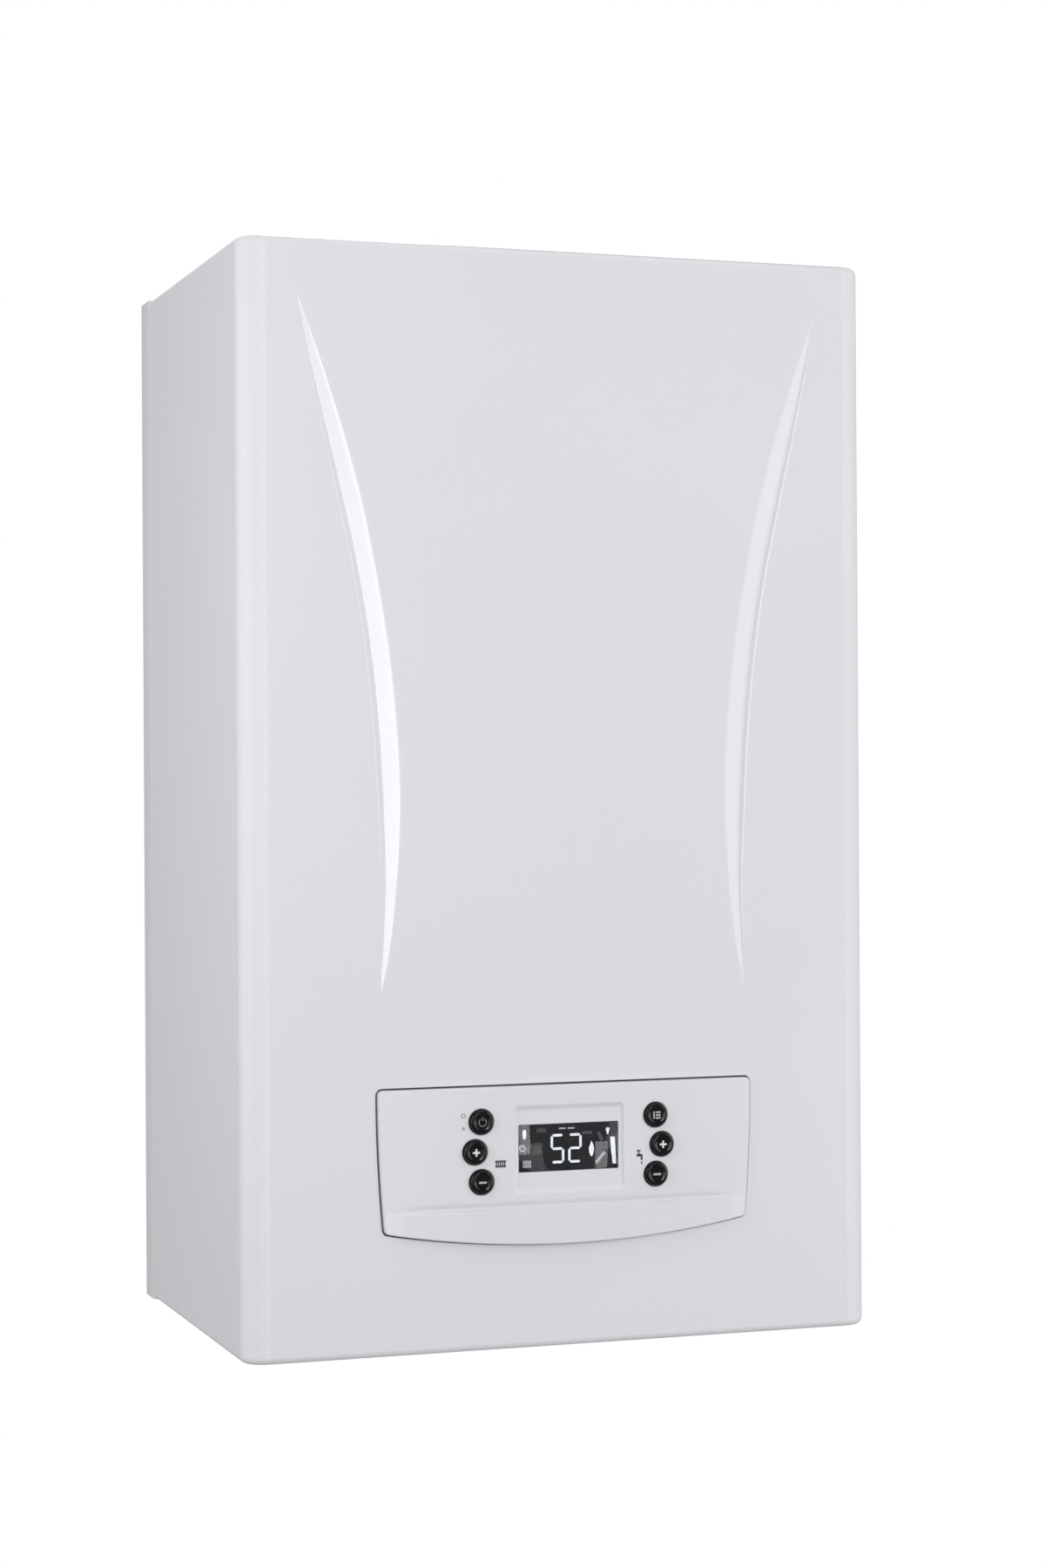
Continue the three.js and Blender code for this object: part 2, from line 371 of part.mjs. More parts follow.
add(air, 'gas_air_mixer', csg([latheY(FAN_X, FAN_Z, [[20, FAN_Y1 + GAP], [32, FAN_Y1 + GAP], [32, -36], [26, -34], [26, 2], [30, 4], [30, 8], [23, 8], [15, -16], [20, FAN_Y1 + GAP]], 16), cylZ(FAN_X, -18, 9, 238.3, 262, 12)]), material(0xa2a5a8, 0.5, 0.8));
add(air, 'intake_silencer', csg([box(-12, 72, 8.3, 62, 245, 338)], [cylY(FAN_X, FAN_Z, 20, 7, 50, 24), cylX(35, 312, 14, -14, 30, 20)]), black());
add(air, 'gas_valve', csg([box(-6, 66, -39, 18, 170, 230), cylZ(FAN_X, -18, 9, 229, 238, 16), cylY(14, 198, 14, -68, -38, 20), cylY(48, 198, 14, -68, -38, 20)]), material(0x8f9397, 0.5, 0.8));
add(air, 'gas_pipe', pipe([[0, STUB_Y, 48.3], [0, STUB_Y, 90], [2, 44, 118], [8, 14, 142], [10, 5, 158], [10, 5, 169.3]], 9, 10, 0, 10), copper());

// ---------------------------------------------------------------- water side
const water = new THREE.Group();
group.add(water);
{
  // flat vessel with a seam rim round its middle
  const rr = (y0, y1, z0, z1, r, n = 3) => [...arc(y1 - r, z1 - r, r, 0, 90, n), ...arc(y0 + r, z1 - r, r, 90, 180, n), ...arc(y0 + r, z0 + r, r, 180, 270, n), ...arc(y1 - r, z0 + r, r, 270, 360, n)];
  add(water, 'expansion_vessel', csg([prismX(rr(-52, 124, 213, 632, 34), -196, -126), prismX(rr(-57, 129, 208, 637, 38), -190, -132), prismX(rr(-60, 132, 205, 640, 40), -162.5, -159.5), cylZ(-140, 95, 8, 195, 230, 12), cylZ(-140, 95, 6, 160.3, 196, 12)], [prismX(rr(-50, 122, 215, 630, 33), -194.3, -127.7), prismX(rr(-55, 127, 210, 635, 36), -188, -134), cylZ(-140, 95, 3.5, 159, 216, 8)]), material(0xb5352c, 0.4));
}
add(water, 'flow_manifold', csg([box(-150, -95.3, 40, 130, 48, 160), box(-100, -52, 42, 68, 48, 68)]), brass());
add(water, 'return_manifold', csg([box(95.3, 150, 40, 130, 48, 160), box(52, 100, 42, 68, 48, 68)]), brass());
add(water, 'plate_heat_exchanger', csg([box(-95, 95, 84, 134, 75, 150), box(-92, 92, 82, 84.5, 78, 147)]), steel());
add(water, 'diverter_motor', csg([box(-147, -103, -8, 30, 76, 126), cylY(-125, 101, 14, 29, 39.7, 20)]), grey());
{
  const adds = [cylY(PUMP_X, PUMP_Z, 38, 20.3, 62, 22), cylZ(122, 52, 10, 160.3, 190, 12), cylZ(160, 41, 12, 225, 275, 12), cylZ(112, 41, 10, 220, 252, 12)];
  add(water, 'pump_housing', csg(adds, [cylY(PUMP_X, PUMP_Z, 30, 19, 46, 20)]), material(0x8c8f92, 0.5, 0.8));
}
add(water, 'pump_motor', csg([cylY(PUMP_X, PUMP_Z, 44, -62, 12, 22), cylY(PUMP_X, PUMP_Z, 36, 11, 20, 22), box(PUMP_X - 26, PUMP_X + 26, -70, -61, PUMP_Z - 26, PUMP_Z + 26)], [cylY(PUMP_X, PUMP_Z, 4.6, -24, 21, 16)]), black());
{
  const blades = [];
  for (let i = 0; i < 6; i++) blades.push(box(7, 26, -1, 1, 0, 8).rotateZ(0.5).rotateX(Math.PI / 2).translate(0, 38, 0).rotateY(i * Math.PI / 3).translate(PUMP_X, 0, PUMP_Z));
  add(water, 'pump_impeller', csg([cylY(PUMP_X, PUMP_Z, 27, 26, 30.5, 18), cylY(PUMP_X, PUMP_Z, 8, 30, 38, 16), cylY(PUMP_X, PUMP_Z, 4, -20, 27, 12), ...blades]), material(0x2c2c30, 0.5));
}
add(water, 'air_vent', outward(latheZ(112, 41, [[0, 252.3], [9, 252.3], [9, 256], [14, 258], [14, 290], [12, 293], [6, 293], [6, 301], [0, 301]], 12)), brass());
add(water, 'flow_pipe', pipe([[-92.3, 60, 400], [-112, 60, 400], [-112, 60, 160.3]], 8, 18, 15, 10), copper());
add(water, 'return_pipe', pipe([[160, 41, 275.3], [160, 41, 400], [140.3, 41, 400]], 8, 14, 15, 10), copper());
add(water, 'safety_valve', csg([cylY(135, 95, 11, 5, 39.7, 20), cylZ(135, 20, 8, 70, 96, 16), cylY(135, 95, 3, -9, 6, 12)]), brass());
add(water, 'safety_valve_knob', outward(latheY(135, 95, [[3.4, 4.7], [14, 4.7], [15, 2], [15, -12], [13, -14], [0, -14], [0, -10], [3.4, -10], [3.4, 4.7]], 12)), material(0xb02a22, 0.4));
add(water, 'filling_valve', csg([cylZ(...FILL, 9, 20, 75, 20), cylY(FILL[0], 62, 7, 27, 39.7, 16), cylZ(...FILL, 3, 10, 21, 12)]), brass());
add(water, 'filling_knob', outward(latheZ(...FILL, [[3.4, 19.7], [12.5, 19.7], [13.5, 17.5], [13.5, 8], [12, 6.5], [0, 6.5], [0, 9], [3.4, 9], [3.4, 19.7]], 12)), material(0x2a2c30, 0.45));
{
  const [tx, ty] = TRAP;
  add(water, 'condensate_trap', csg([cylZ(tx, ty, 24, 62, 182, 24), cylZ(tx, ty, 9, 16, 63, 18), cylX(ty, 160, 9, tx, -125.7, 16)], [cylZ(tx, ty, 6.6, 15, 50, 18)]), material(0xd9d9d6, 0.5));
}
add(water, 'condensate_hose', pipe([[0, 100, 334.5], [0, 100, 322], [-14, 98, 296], [-48, 80, 268], [-76, 38, 246], [-88, -8, 226], [-90, -34, 200], [-93, -35, 176], [-104, -35, 160.4], [-116, -35, 160], [-125.4, -35, 160]], 8.5, 20, 0, 8), material(0x5a5d60, 0.7));
for (const [name, [x, r, bore, mat]] of Object.entries(STUBS)) {
  const p = [[bore, STUB_LOW_Z], [r, STUB_LOW_Z], [r, 31], [r + 3.6, 31], [r + 3.6, 37.4], [r, 37.4], [r, 47.7], [bore, 47.7], [bore, STUB_LOW_Z]];
  add(water, name, outward(latheZ(x, STUB_Y, p, 14)), mat());
}
add(water, 'cable_gland', outward(latheZ(...GLAND, [[4, 20], [7, 20], [9, 23], [9, 29], [11, 29], [11, 37.4], [8, 37.4], [8, 47], [4, 47], [4, 20]], 12)), grey());

export default group;
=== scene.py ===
import json
import math

import bmesh
import bpy
import numpy as np
from mathutils import Matrix, Vector
from mathutils.geometry import delaunay_2d_cdt


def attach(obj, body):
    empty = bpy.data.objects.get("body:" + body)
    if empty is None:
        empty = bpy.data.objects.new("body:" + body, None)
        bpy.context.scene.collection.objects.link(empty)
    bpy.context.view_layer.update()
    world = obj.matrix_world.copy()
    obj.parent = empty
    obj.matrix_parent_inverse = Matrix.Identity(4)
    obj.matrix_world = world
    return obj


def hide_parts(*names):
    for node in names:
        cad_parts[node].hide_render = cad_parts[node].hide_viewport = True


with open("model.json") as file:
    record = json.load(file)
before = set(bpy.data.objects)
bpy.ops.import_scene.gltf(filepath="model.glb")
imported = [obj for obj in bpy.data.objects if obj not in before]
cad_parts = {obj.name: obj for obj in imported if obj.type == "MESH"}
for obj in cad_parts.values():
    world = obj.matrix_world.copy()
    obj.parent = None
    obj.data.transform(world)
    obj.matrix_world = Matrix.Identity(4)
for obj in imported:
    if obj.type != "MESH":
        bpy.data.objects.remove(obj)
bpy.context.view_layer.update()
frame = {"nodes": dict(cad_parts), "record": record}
MM = 0.001
ROOT = "boiler"
scene = bpy.context.scene


# ------------------------------------------------------------------ camera
def make_camera():
    yaw, pitch, roll = math.radians(-18.83), math.radians(-0.17), math.radians(-0.33)
    cy, sy, cp, sp, cr, sr = math.cos(yaw), math.sin(yaw), math.cos(pitch), math.sin(pitch), math.cos(roll), math.sin(roll)
    rz = np.array([[cy, sy, 0], [-sy, cy, 0], [0, 0, 1]])
    b = np.array([[1, 0, 0], [0, 0, -1], [0, 1, 0]])
    rx = np.array([[1, 0, 0], [0, cp, -sp], [0, sp, cp]])
    rr = np.array([[cr, -sr, 0], [sr, cr, 0], [0, 0, 1]])
    m = rr @ rx @ b @ rz
    cam = bpy.data.objects.new("camera", bpy.data.cameras.new("camera"))
    scene.collection.objects.link(cam)
    cam.data.sensor_width = 36.0
    cam.data.lens = 36.0 * 3480 / 1800
    cam.data.clip_start, cam.data.clip_end = 0.05, 60
    rot = Matrix([[m[0][i], -m[1][i], -m[2][i]] for i in range(3)])
    cam.matrix_world = Matrix.Translation((-0.6307, -1.9083, 0.3421)) @ rot.to_4x4()
    scene.camera = cam
    return cam


camera = make_camera()
scene.view_settings.view_transform = "Standard"


# ------------------------------------------------------------------ mesh helpers, millimetres
def oriented(v, f):
    """The faces turned outward, by the signed volume."""
    v = np.asarray(v, float)
    vol = 0.0
    c = v.mean(0)
    for face in f:
        a = v[face[0]] - c
        for i in range(1, len(face) - 1):
            vol += np.dot(a, np.cross(v[face[i]] - c, v[face[i + 1]] - c))
    return v, (f if vol >= 0 else [list(reversed(x)) for x in f])


def rounded(v, f, width, seg=2, angle=25.0, keep=None):
    """The edges sharper than the angle, rounded by that width."""
    bm = bmesh.new()
    vs = [bm.verts.new(p) for p in v]
    for face in f:
        try:
            bm.faces.new([vs[i] for i in face])
        except ValueError:
            pass
    bmesh.ops.remove_doubles(bm, verts=bm.verts, dist=1e-4)
    bm.normal_update()
    edges = [e for e in bm.edges if len(e.link_faces) == 2 and e.calc_face_angle(0) > math.radians(angle) and (keep is None or keep(e))]
    bmesh.ops.bevel(bm, geom=edges, offset=width, offset_type="OFFSET", segments=seg, profile=0.5, affect="EDGES", clamp_overlap=True)
    bm.verts.index_update()
    out = np.array([p.co for p in bm.verts]), [[p.index for p in face.verts] for face in bm.faces]
    bm.free()
    return out


def ax(axis, a, b, h):
    return {"z": (a, b, h), "y": (a, h, b), "x": (h, a, b)}[axis]


def lathe(prof, at=(0, 0, 0), axis="z", n=40, r=0.0, seg=2):
    """Profile of (radius, height) turned about an axis through at. A profile that ends where it starts is a ring."""
    ring = abs(prof[0][0] - prof[-1][0]) < 1e-9 and abs(prof[0][1] - prof[-1][1]) < 1e-9
    prof = prof[:-1] if ring else prof
    v, rows = [], []
    for rad, h in prof:
        if rad < 1e-6:
            rows.append([len(v)] * n)
            v.append(ax(axis, 0, 0, h))
        else:
            rows.append([len(v) + i for i in range(n)])
            v += [ax(axis, rad * math.cos(2 * math.pi * i / n), rad * math.sin(2 * math.pi * i / n), h) for i in range(n)]
    f = []
    pairs = list(zip(rows, rows[1:] + ([rows[0]] if ring else [])))
    for a, b in pairs if ring else pairs[: len(rows) - 1]:
        for i in range(n):
            j = (i + 1) % n
            q = [a[i], a[j], b[j], b[i]]
            q = [x for k, x in enumerate(q) if x != q[k - 1]]
            if len(q) > 2:
                f.append(q)
    if not ring:
        for row, (rad, h) in ((rows[0], prof[0]), (rows[-1], prof[-1])):
            if rad > 1e-6:
                f.append(list(row) if row is rows[0] else list(reversed(row)))
                f[-1] = list(reversed(f[-1]))
    v = np.array(v, float)
    v, f = consistent(v, f)
    if r:
        v, f = rounded(v, f, r, seg)
    return v + np.array(at, float), f


def consistent(v, f):
    bm = bmesh.new()
    vs = [bm.verts.new(p) for p in v]
    for face in f:
        try:
            bm.faces.new([vs[i] for i in face])
        except ValueError:
            pass
    bmesh.ops.remove_doubles(bm, verts=bm.verts, dist=1e-5)
    bmesh.ops.recalc_face_normals(bm, faces=bm.faces)
    bm.verts.index_update()
    v2, f2 = np.array([p.co for p in bm.verts]), [[p.index for p in face.verts] for face in bm.faces]
    bm.free()
    return oriented(v2, f2)


def block(x0, x1, y0, y1, z0, z1, r=0.8, seg=2, keep=None):
    v = np.array([(x, y, z) for x in (x0, x1) for y in (y0, y1) for z in (z0, z1)], float)
    f = [[0, 1, 3, 2], [4, 6, 7, 5], [0, 4, 5, 1], [2, 3, 7, 6], [0, 2, 6, 4], [1, 5, 7, 3]]
    return rounded(v, f, r, seg, keep=keep) if r else (v, f)


def prism(outline, h0, h1, axis="z", r=0.0, seg=2, angle=25.0):
    """A closed outline run along an axis. The outline is (x, y) along z, (x, z) along y, or (y, z) along x."""
    n = len(outline)
    v = [ax(axis, a, b, h0) for a, b in outline] + [ax(axis, a, b, h1) for a, b in outline]
    f = [list(range(n)), [n + i for i in reversed(range(n))]] + [[i, n + i, n + (i + 1) % n, (i + 1) % n] for i in range(n)]
    v, f = consistent(np.array(v, float), f)
    return rounded(v, f, r, seg, angle) if r else (v, f)


def arc(cx, cy, r, a0, a1, n):
    return [(cx + r * math.cos(math.radians(a0 + (a1 - a0) * i / n)), cy + r * math.sin(math.radians(a0 + (a1 - a0) * i / n))) for i in range(n + 1)]


def rrect(x0, x1, z0, z1, r, n=6):
    return arc(x1 - r, z1 - r, r, 0, 90, n) + arc(x0 + r, z1 - r, r, 90, 180, n) + arc(x0 + r, z0 + r, r, 180, 270, n) + arc(x1 - r, z0 + r, r, 270, 360, n)


def filleted(points, radii, n=6):
    """A closed 2-D outline with the corners rounded: radii holds one number for each point, 0 to keep it."""
    out, m = [], len(points)
    for i, p in enumerate(points):
        rad = radii[i] if not isinstance(radii, (int, float)) else radii
        if not rad:
            out.append(tuple(p))
            continue
        p, a, b = np.array(p, float), np.array(points[i - 1], float), np.array(points[(i + 1) % m], float)
        da, db = (a - p) / np.linalg.norm(a - p), (b - p) / np.linalg.norm(b - p)
        half = math.acos(max(-1, min(1, float(da @ db)))) / 2
        t = rad / math.tan(half)
        s, e, c = p + da * t, p + db * t, p + (da + db) / np.linalg.norm(da + db) * rad / math.sin(half)
        a0, a1 = math.atan2(*(s - c)[::-1]), math.atan2(*(e - c)[::-1])
        while a1 - a0 > math.pi:
            a1 -= 2 * math.pi
        while a1 - a0 < -math.pi:
            a1 += 2 * math.pi
        out += [(c[0] + rad * math.cos(a0 + (a1 - a0) * k / n), c[1] + rad * math.sin(a0 + (a1 - a0) * k / n)) for k in range(n + 1)]
    return out


def path(points, rad=0.0, n=7):
    """A 3-D route with its corners rounded."""
    p = [np.array(q, float) for q in points]
    if not rad:
        out = []
        for i in range(len(p) - 1):
            p0, p1, p2, p3 = p[max(i - 1, 0)], p[i], p[i + 1], p[min(i + 2, len(p) - 1)]
            for k in range(n):
                t = k / n
                out.append(0.5 * ((2 * p1) + (-p0 + p2) * t + (2 * p0 - 5 * p1 + 4 * p2 - p3) * t * t + (-p0 + 3 * p1 - 3 * p2 + p3) * t ** 3))
        return out + [p[-1]]
    out = [p[0]]
    for i in range(1, len(p) - 1):
        a, b = p[i - 1] - p[i], p[i + 1] - p[i]
        a, b = a / np.linalg.norm(a), b / np.linalg.norm(b)
        s, e = p[i] + a * rad, p[i] + b * rad
        out += [s * (1 - t) ** 2 + p[i] * 2 * t * (1 - t) + e * t * t for t in [k / n for k in range(n + 1)]]
    return out + [p[-1]]


def tube(points, r, n=20, bore=0.0):
    """A round tube along a route. r is a radius or a function of the share of the length."""
    p = [np.array(q, float) for q in points]
    d = [0.0]
    for a, b in zip(p, p[1:]):
        d.append(d[-1] + float(np.linalg.norm(b - a)))
    tangents = []
    for i in range(len(p)):
        t = p[min(i + 1, len(p) - 1)] - p[max(i - 1, 0)]
        tangents.append(t / np.linalg.norm(t))
    up = np.array([0, 0, 1.0]) if abs(tangents[0][2]) < 0.9 else np.array([1.0, 0, 0])
    side = np.cross(tangents[0], up)
    side /= np.linalg.norm(side)
    rings, v = [], []

    def ring(c, side, t, rad):
        up = np.cross(side, t)
        ids = []
        for k in range(n):
            a = 2 * math.pi * k / n
            ids.append(len(v))
            v.append(c + side * rad * math.cos(a) + up * rad * math.sin(a))
        return ids

    inner = []
    for i, c in enumerate(p):
        side = side - tangents[i] * float(side @ tangents[i])
        side /= np.linalg.norm(side)
        rad = r(d[i] / d[-1]) if callable(r) else r
        rings.append(ring(c, side, tangents[i], rad))
        if bore:
            inner.append(ring(c, side, tangents[i], bore))
    f = []
    for a, b in zip(rings, rings[1:]):
        f += [[a[k], a[(k + 1) % n], b[(k + 1) % n], b[k]] for k in range(n)]
    if bore:
        for a, b in zip(inner, inner[1:]):
            f += [[a[k], b[k], b[(k + 1) % n], a[(k + 1) % n]] for k in range(n)]
        for a, b in ((rings[0], inner[0]), (inner[-1], rings[-1])):
            f += [[a[k], b[k], b[(k + 1) % n], a[(k + 1) % n]] for k in range(n)]
    else:
        f += [list(reversed(rings[0])), list(rings[-1])]
    return consistent(np.array(v), f)


class Part:
    """Closed solids gathered into one piece."""

    def __init__(self):
        self.v, self.f, self.m, self.flat, self.count = [], [], [], [], 0

    def add(self, solid, m=0):
        v, f = solid
        self.v.append(np.asarray(v, float))
        self.f += [[i + self.count for i in face] for face in f]
        self.m += [m] * len(f)
        self.count += len(v)
        return self

    def piece(self, name, mats, body=ROOT, replaces=(), slot=None, angle=32.0, normals=None):
        me = bpy.data.meshes.new(name)
        me.from_pydata([tuple(p * MM) for p in np.concatenate(self.v)], [], self.f)
        for m in mats:
            me.materials.append(m)
        me.polygons.foreach_set("material_index", self.m)
        finish_mesh(me, angle, normals)
        ob = bpy.data.objects.new(name, me)
        scene.collection.objects.link(ob)
        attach(ob, body)
        if replaces:
            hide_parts(*([replaces] if isinstance(replaces, str) else replaces))
        return ob


def finish_mesh(me, angle, normals=None):
    """Smooth faces with the edges over the angle kept sharp. normals gives exact normals, as {vertex: normal} for the faces in its "faces"."""
    me.validate()
    bm = bmesh.new()
    bm.from_mesh(me)
    for face in bm.faces:
        face.smooth = True
    for e in bm.edges:
        e.smooth = not (len(e.link_faces) != 2 or e.calc_face_angle(0) > math.radians(angle))
    bm.to_mesh(me)
    bm.free()
    if normals is not None:
        faces, vn = normals
        loops = np.zeros((len(me.loops), 3))
        for i in faces:
            pol = me.polygons[i]
            for k in range(pol.loop_start, pol.loop_start + pol.loop_total):
                loops[k] = vn[me.loops[k].vertex_index]
        me.normals_split_custom_set([tuple(x) for x in loops])
    me.update()


# ------------------------------------------------------------------ materials
def material(name, color, rough, metal=0.0, tint=0.04, tint_scale=9.0, grain=420.0, bump=0.04, depth=0.00006, spread=0.05, stretch=(1, 1, 1), coat=0.0, coat_rough=0.1,
             alpha=1.0, transmission=0.0, ior=1.5, emission=0.0, detail=3.0, aux=None):
    """A finish: large soft colour changes, a fine grain in the roughness, and the same grain as relief."""
    m = bpy.data.materials.new(name)
    m.use_nodes = True
    nt = m.node_tree
    nt.nodes.clear()
    new = nt.nodes.new
    out, b = new("ShaderNodeOutputMaterial"), new("ShaderNodeBsdfPrincipled")
    nt.links.new(b.outputs[0], out.inputs[0])
    tc, mp = new("ShaderNodeTexCoord"), new("ShaderNodeMapping")
    nt.links.new(tc.outputs["Object"], mp.inputs["Vector"])
    mp.inputs["Scale"].default_value = stretch
    big, ramp = new("ShaderNodeTexNoise"), new("ShaderNodeValToRGB")
    big.inputs["Scale"].default_value = tint_scale
    big.inputs["Detail"].default_value = detail
    nt.links.new(mp.outputs[0], big.inputs["Vector"])
    nt.links.new(big.outputs["Fac"], ramp.inputs[0])
    e = ramp.color_ramp.elements
    e[0].position, e[1].position = 0.3, 0.7
    c2 = aux if aux is not None else tuple(min(1.0, x * (1 + tint)) for x in color)
    e[0].color = (*[x * (1 - tint) for x in color], 1)
    e[1].color = (*c2, 1)
    nt.links.new(ramp.outputs[0], b.inputs["Base Color"])
    fine, mr = new("ShaderNodeTexNoise"), new("ShaderNodeMapRange")
    fine.inputs["Scale"].default_value = grain
    fine.inputs["Detail"].default_value = 2.0
    nt.links.new(mp.outputs[0], fine.inputs["Vector"])
    nt.links.new(fine.outputs["Fac"], mr.inputs["Value"])
    mr.inputs["From Min"].default_value, mr.inputs["From Max"].default_value = 0.3, 0.7
    mr.inputs["To Min"].default_value, mr.inputs["To Max"].default_value = max(0.01, rough - spread), min(1, rough + spread)
    nt.links.new(mr.outputs[0], b.inputs["Roughness"])
    if bump:
        bp = new("ShaderNodeBump")
        bp.inputs["Strength"].default_value = bump
        bp.inputs["Distance"].default_value = depth
        nt.links.new(fine.outputs["Fac"], bp.inputs["Height"])
        nt.links.new(bp.outputs[0], b.inputs["Normal"])
    b.inputs["Metallic"].default_value = metal
    b.inputs["IOR"].default_value = ior
    b.inputs["Coat Weight"].default_value = coat
    b.inputs["Coat Roughness"].default_value = coat_rough
    b.inputs["Alpha"].default_value = alpha
    b.inputs["Transmission Weight"].default_value = transmission
    if emission:
        nt.links.new(ramp.outputs[0], b.inputs["Emission Color"])
        b.inputs["Emission Strength"].default_value = emission
    return m


M = {
    "casing_white": material("powder_coat_white", (0.775, 0.768, 0.806), 0.18, tint=0.008, tint_scale=6, grain=380, bump=0.05, depth=0.00004, spread=0.03),
    "frame_white": material("powder_coat_frame", (0.765, 0.758, 0.795), 0.36, tint=0.012, tint_scale=7, grain=380, bump=0.12, depth=0.00006),
    "fascia_white": material("moulded_white", (0.745, 0.740, 0.778), 0.34, tint=0.008, tint_scale=14, grain=2200, bump=0.10, depth=0.00003, spread=0.03),
    "galvanised": material("galvanised_sheet", (0.50, 0.52, 0.53), 0.42, metal=0.9, tint=0.16, tint_scale=120, grain=900, bump=0.05, detail=1.0, spread=0.10),
    "steel": material("stainless_brushed", (0.56, 0.56, 0.57), 0.30, metal=1.0, tint=0.05, tint_scale=18, grain=700, stretch=(1, 0.04, 1), bump=0.18, depth=0.00003, spread=0.09),
    "zinc_screw": material("zinc_plating", (0.62, 0.62, 0.60), 0.30, metal=1.0, tint=0.06, tint_scale=300, grain=1500, bump=0.05),
    "foam": material("closed_cell_foam", (0.045, 0.045, 0.048), 0.92, tint=0.2, tint_scale=600, grain=1400, bump=0.8, depth=0.0003),
    "rubber_black": material("epdm_rubber", (0.022, 0.022, 0.023), 0.68, tint=0.1, tint_scale=60, grain=1600, bump=0.25, depth=0.00005),
    "window_clear": material("clear_window", (0.92, 0.93, 0.95), 0.04, tint=0.005, grain=200, bump=0.01, transmission=1.0, ior=1.3, spread=0.015),
    "display_black": material("display_glass_black", (0.010, 0.010, 0.013), 0.16, tint=0.1, tint_scale=60, grain=800, bump=0.02, spread=0.03),
    "display_light": material("display_segments", (0.80, 0.83, 0.86), 0.5, tint=0.05, tint_scale=220, grain=900, bump=0.03, emission=0.62),
    "display_dim": material("display_segments_dim", (0.42, 0.43, 0.46), 0.5, tint=0.08, tint_scale=220, grain=900, bump=0.03, emission=0.32),
    "circuit_board": material("solder_mask_green", (0.012, 0.085, 0.040), 0.34, tint=0.3, tint_scale=180, grain=900, bump=0.12, aux=(0.018, 0.14, 0.065)),
    "button_black": material("gloss_black_button", (0.003, 0.003, 0.004), 0.13, tint=0.1, tint_scale=60, grain=900, bump=0.02, ior=1.36, spread=0.03),
    "symbol_grey": material("symbol_print", (0.42, 0.42, 0.44), 0.5, tint=0.05, tint_scale=300, grain=1500, bump=0.05),
    "symbol_light": material("symbol_print_light", (0.74, 0.74, 0.75), 0.5, tint=0.05, tint_scale=300, grain=1500, bump=0.05),
    "print_dark": material("icon_print_dark", (0.030, 0.030, 0.034), 0.5, tint=0.1, tint_scale=300, grain=1500, bump=0.05),
    "print_grey": material("icon_print_grey", (0.33, 0.33, 0.36), 0.5, tint=0.05, tint_scale=300, grain=1500, bump=0.05),
    "box_grey": material("moulded_grey", (0.085, 0.090, 0.098), 0.50, tint=0.06, tint_scale=25, grain=2600, bump=0.30, depth=0.00005),
    "flue_plastic": material("polypropylene_grey", (0.60, 0.60, 0.60), 0.42, tint=0.03, tint_scale=20, grain=1200, bump=0.10),
    "flue_metal": material("flue_enamel_white", (0.76, 0.755, 0.775), 0.34, tint=0.015, tint_scale=14, grain=420, bump=0.10),
    "cast_aluminium": material("die_cast_aluminium", (0.50, 0.51, 0.52), 0.46, metal=0.95, tint=0.08, tint_scale=45, grain=1100, bump=0.5, depth=0.00014, spread=0.08),
    "ceramic_white": material("glazed_ceramic", (0.80, 0.77, 0.70), 0.12, tint=0.03, tint_scale=60, grain=500, bump=0.03, spread=0.03),
    "fibre": material("ceramic_fibre", (0.72, 0.69, 0.61), 0.95, tint=0.08, tint_scale=500, grain=1600, bump=0.9, depth=0.0003, stretch=(1, 1, 0.5)),
    "motor_black": material("moulded_black", (0.018, 0.018, 0.020), 0.45, tint=0.1, tint_scale=30, grain=2400, bump=0.35, depth=0.00005),
    "copper": material("copper_tube", (0.72, 0.36, 0.22), 0.26, metal=1.0, tint=0.10, tint_scale=40, grain=600, bump=0.06, spread=0.09, aux=(0.80, 0.46, 0.31)),
    "brass": material("turned_brass", (0.66, 0.49, 0.22), 0.28, metal=1.0, tint=0.08, tint_scale=50, grain=900, bump=0.10, spread=0.08, aux=(0.74, 0.58, 0.31)),
    "nickel": material("nickel_plating", (0.62, 0.60, 0.56), 0.22, metal=1.0, tint=0.05, tint_scale=50, grain=900, bump=0.05, spread=0.06),
    "vessel_red": material("vessel_enamel_red", (0.42, 0.028, 0.020), 0.30, tint=0.06, tint_scale=12, grain=420, bump=0.16, depth=0.00006),
    "knob_red": material("moulded_red", (0.42, 0.025, 0.018), 0.38, tint=0.06, tint_scale=60, grain=2400, bump=0.2),
    "knob_black": material("knob_moulded_black", (0.020, 0.020, 0.022), 0.40, tint=0.1, tint_scale=60, grain=2400, bump=0.3),
    "trap_grey": material("trap_moulded_grey", (0.58, 0.58, 0.57), 0.40, tint=0.03, tint_scale=25, grain=1400, bump=0.12),
    "hose_grey": material("hose_rubber_grey", (0.10, 0.105, 0.11), 0.55, tint=0.08, tint_scale=60, grain=1400, bump=0.2),
    "chip_black": material("chip_epoxy", (0.012, 0.012, 0.013), 0.40, tint=0.1, tint_scale=200, grain=3000, bump=0.3),
    "connector_white": material("connector_nylon", (0.66, 0.64, 0.58), 0.42, tint=0.04, tint_scale=120, grain=1800, bump=0.1),
    "relay_blue": material("relay_case_blue", (0.02, 0.06, 0.28), 0.36, tint=0.08, tint_scale=120, grain=1800, bump=0.1),
    "insulation": material("paint_black_heat", (0.03, 0.03, 0.032), 0.55, tint=0.1, tint_scale=60, grain=900, bump=0.3),
}


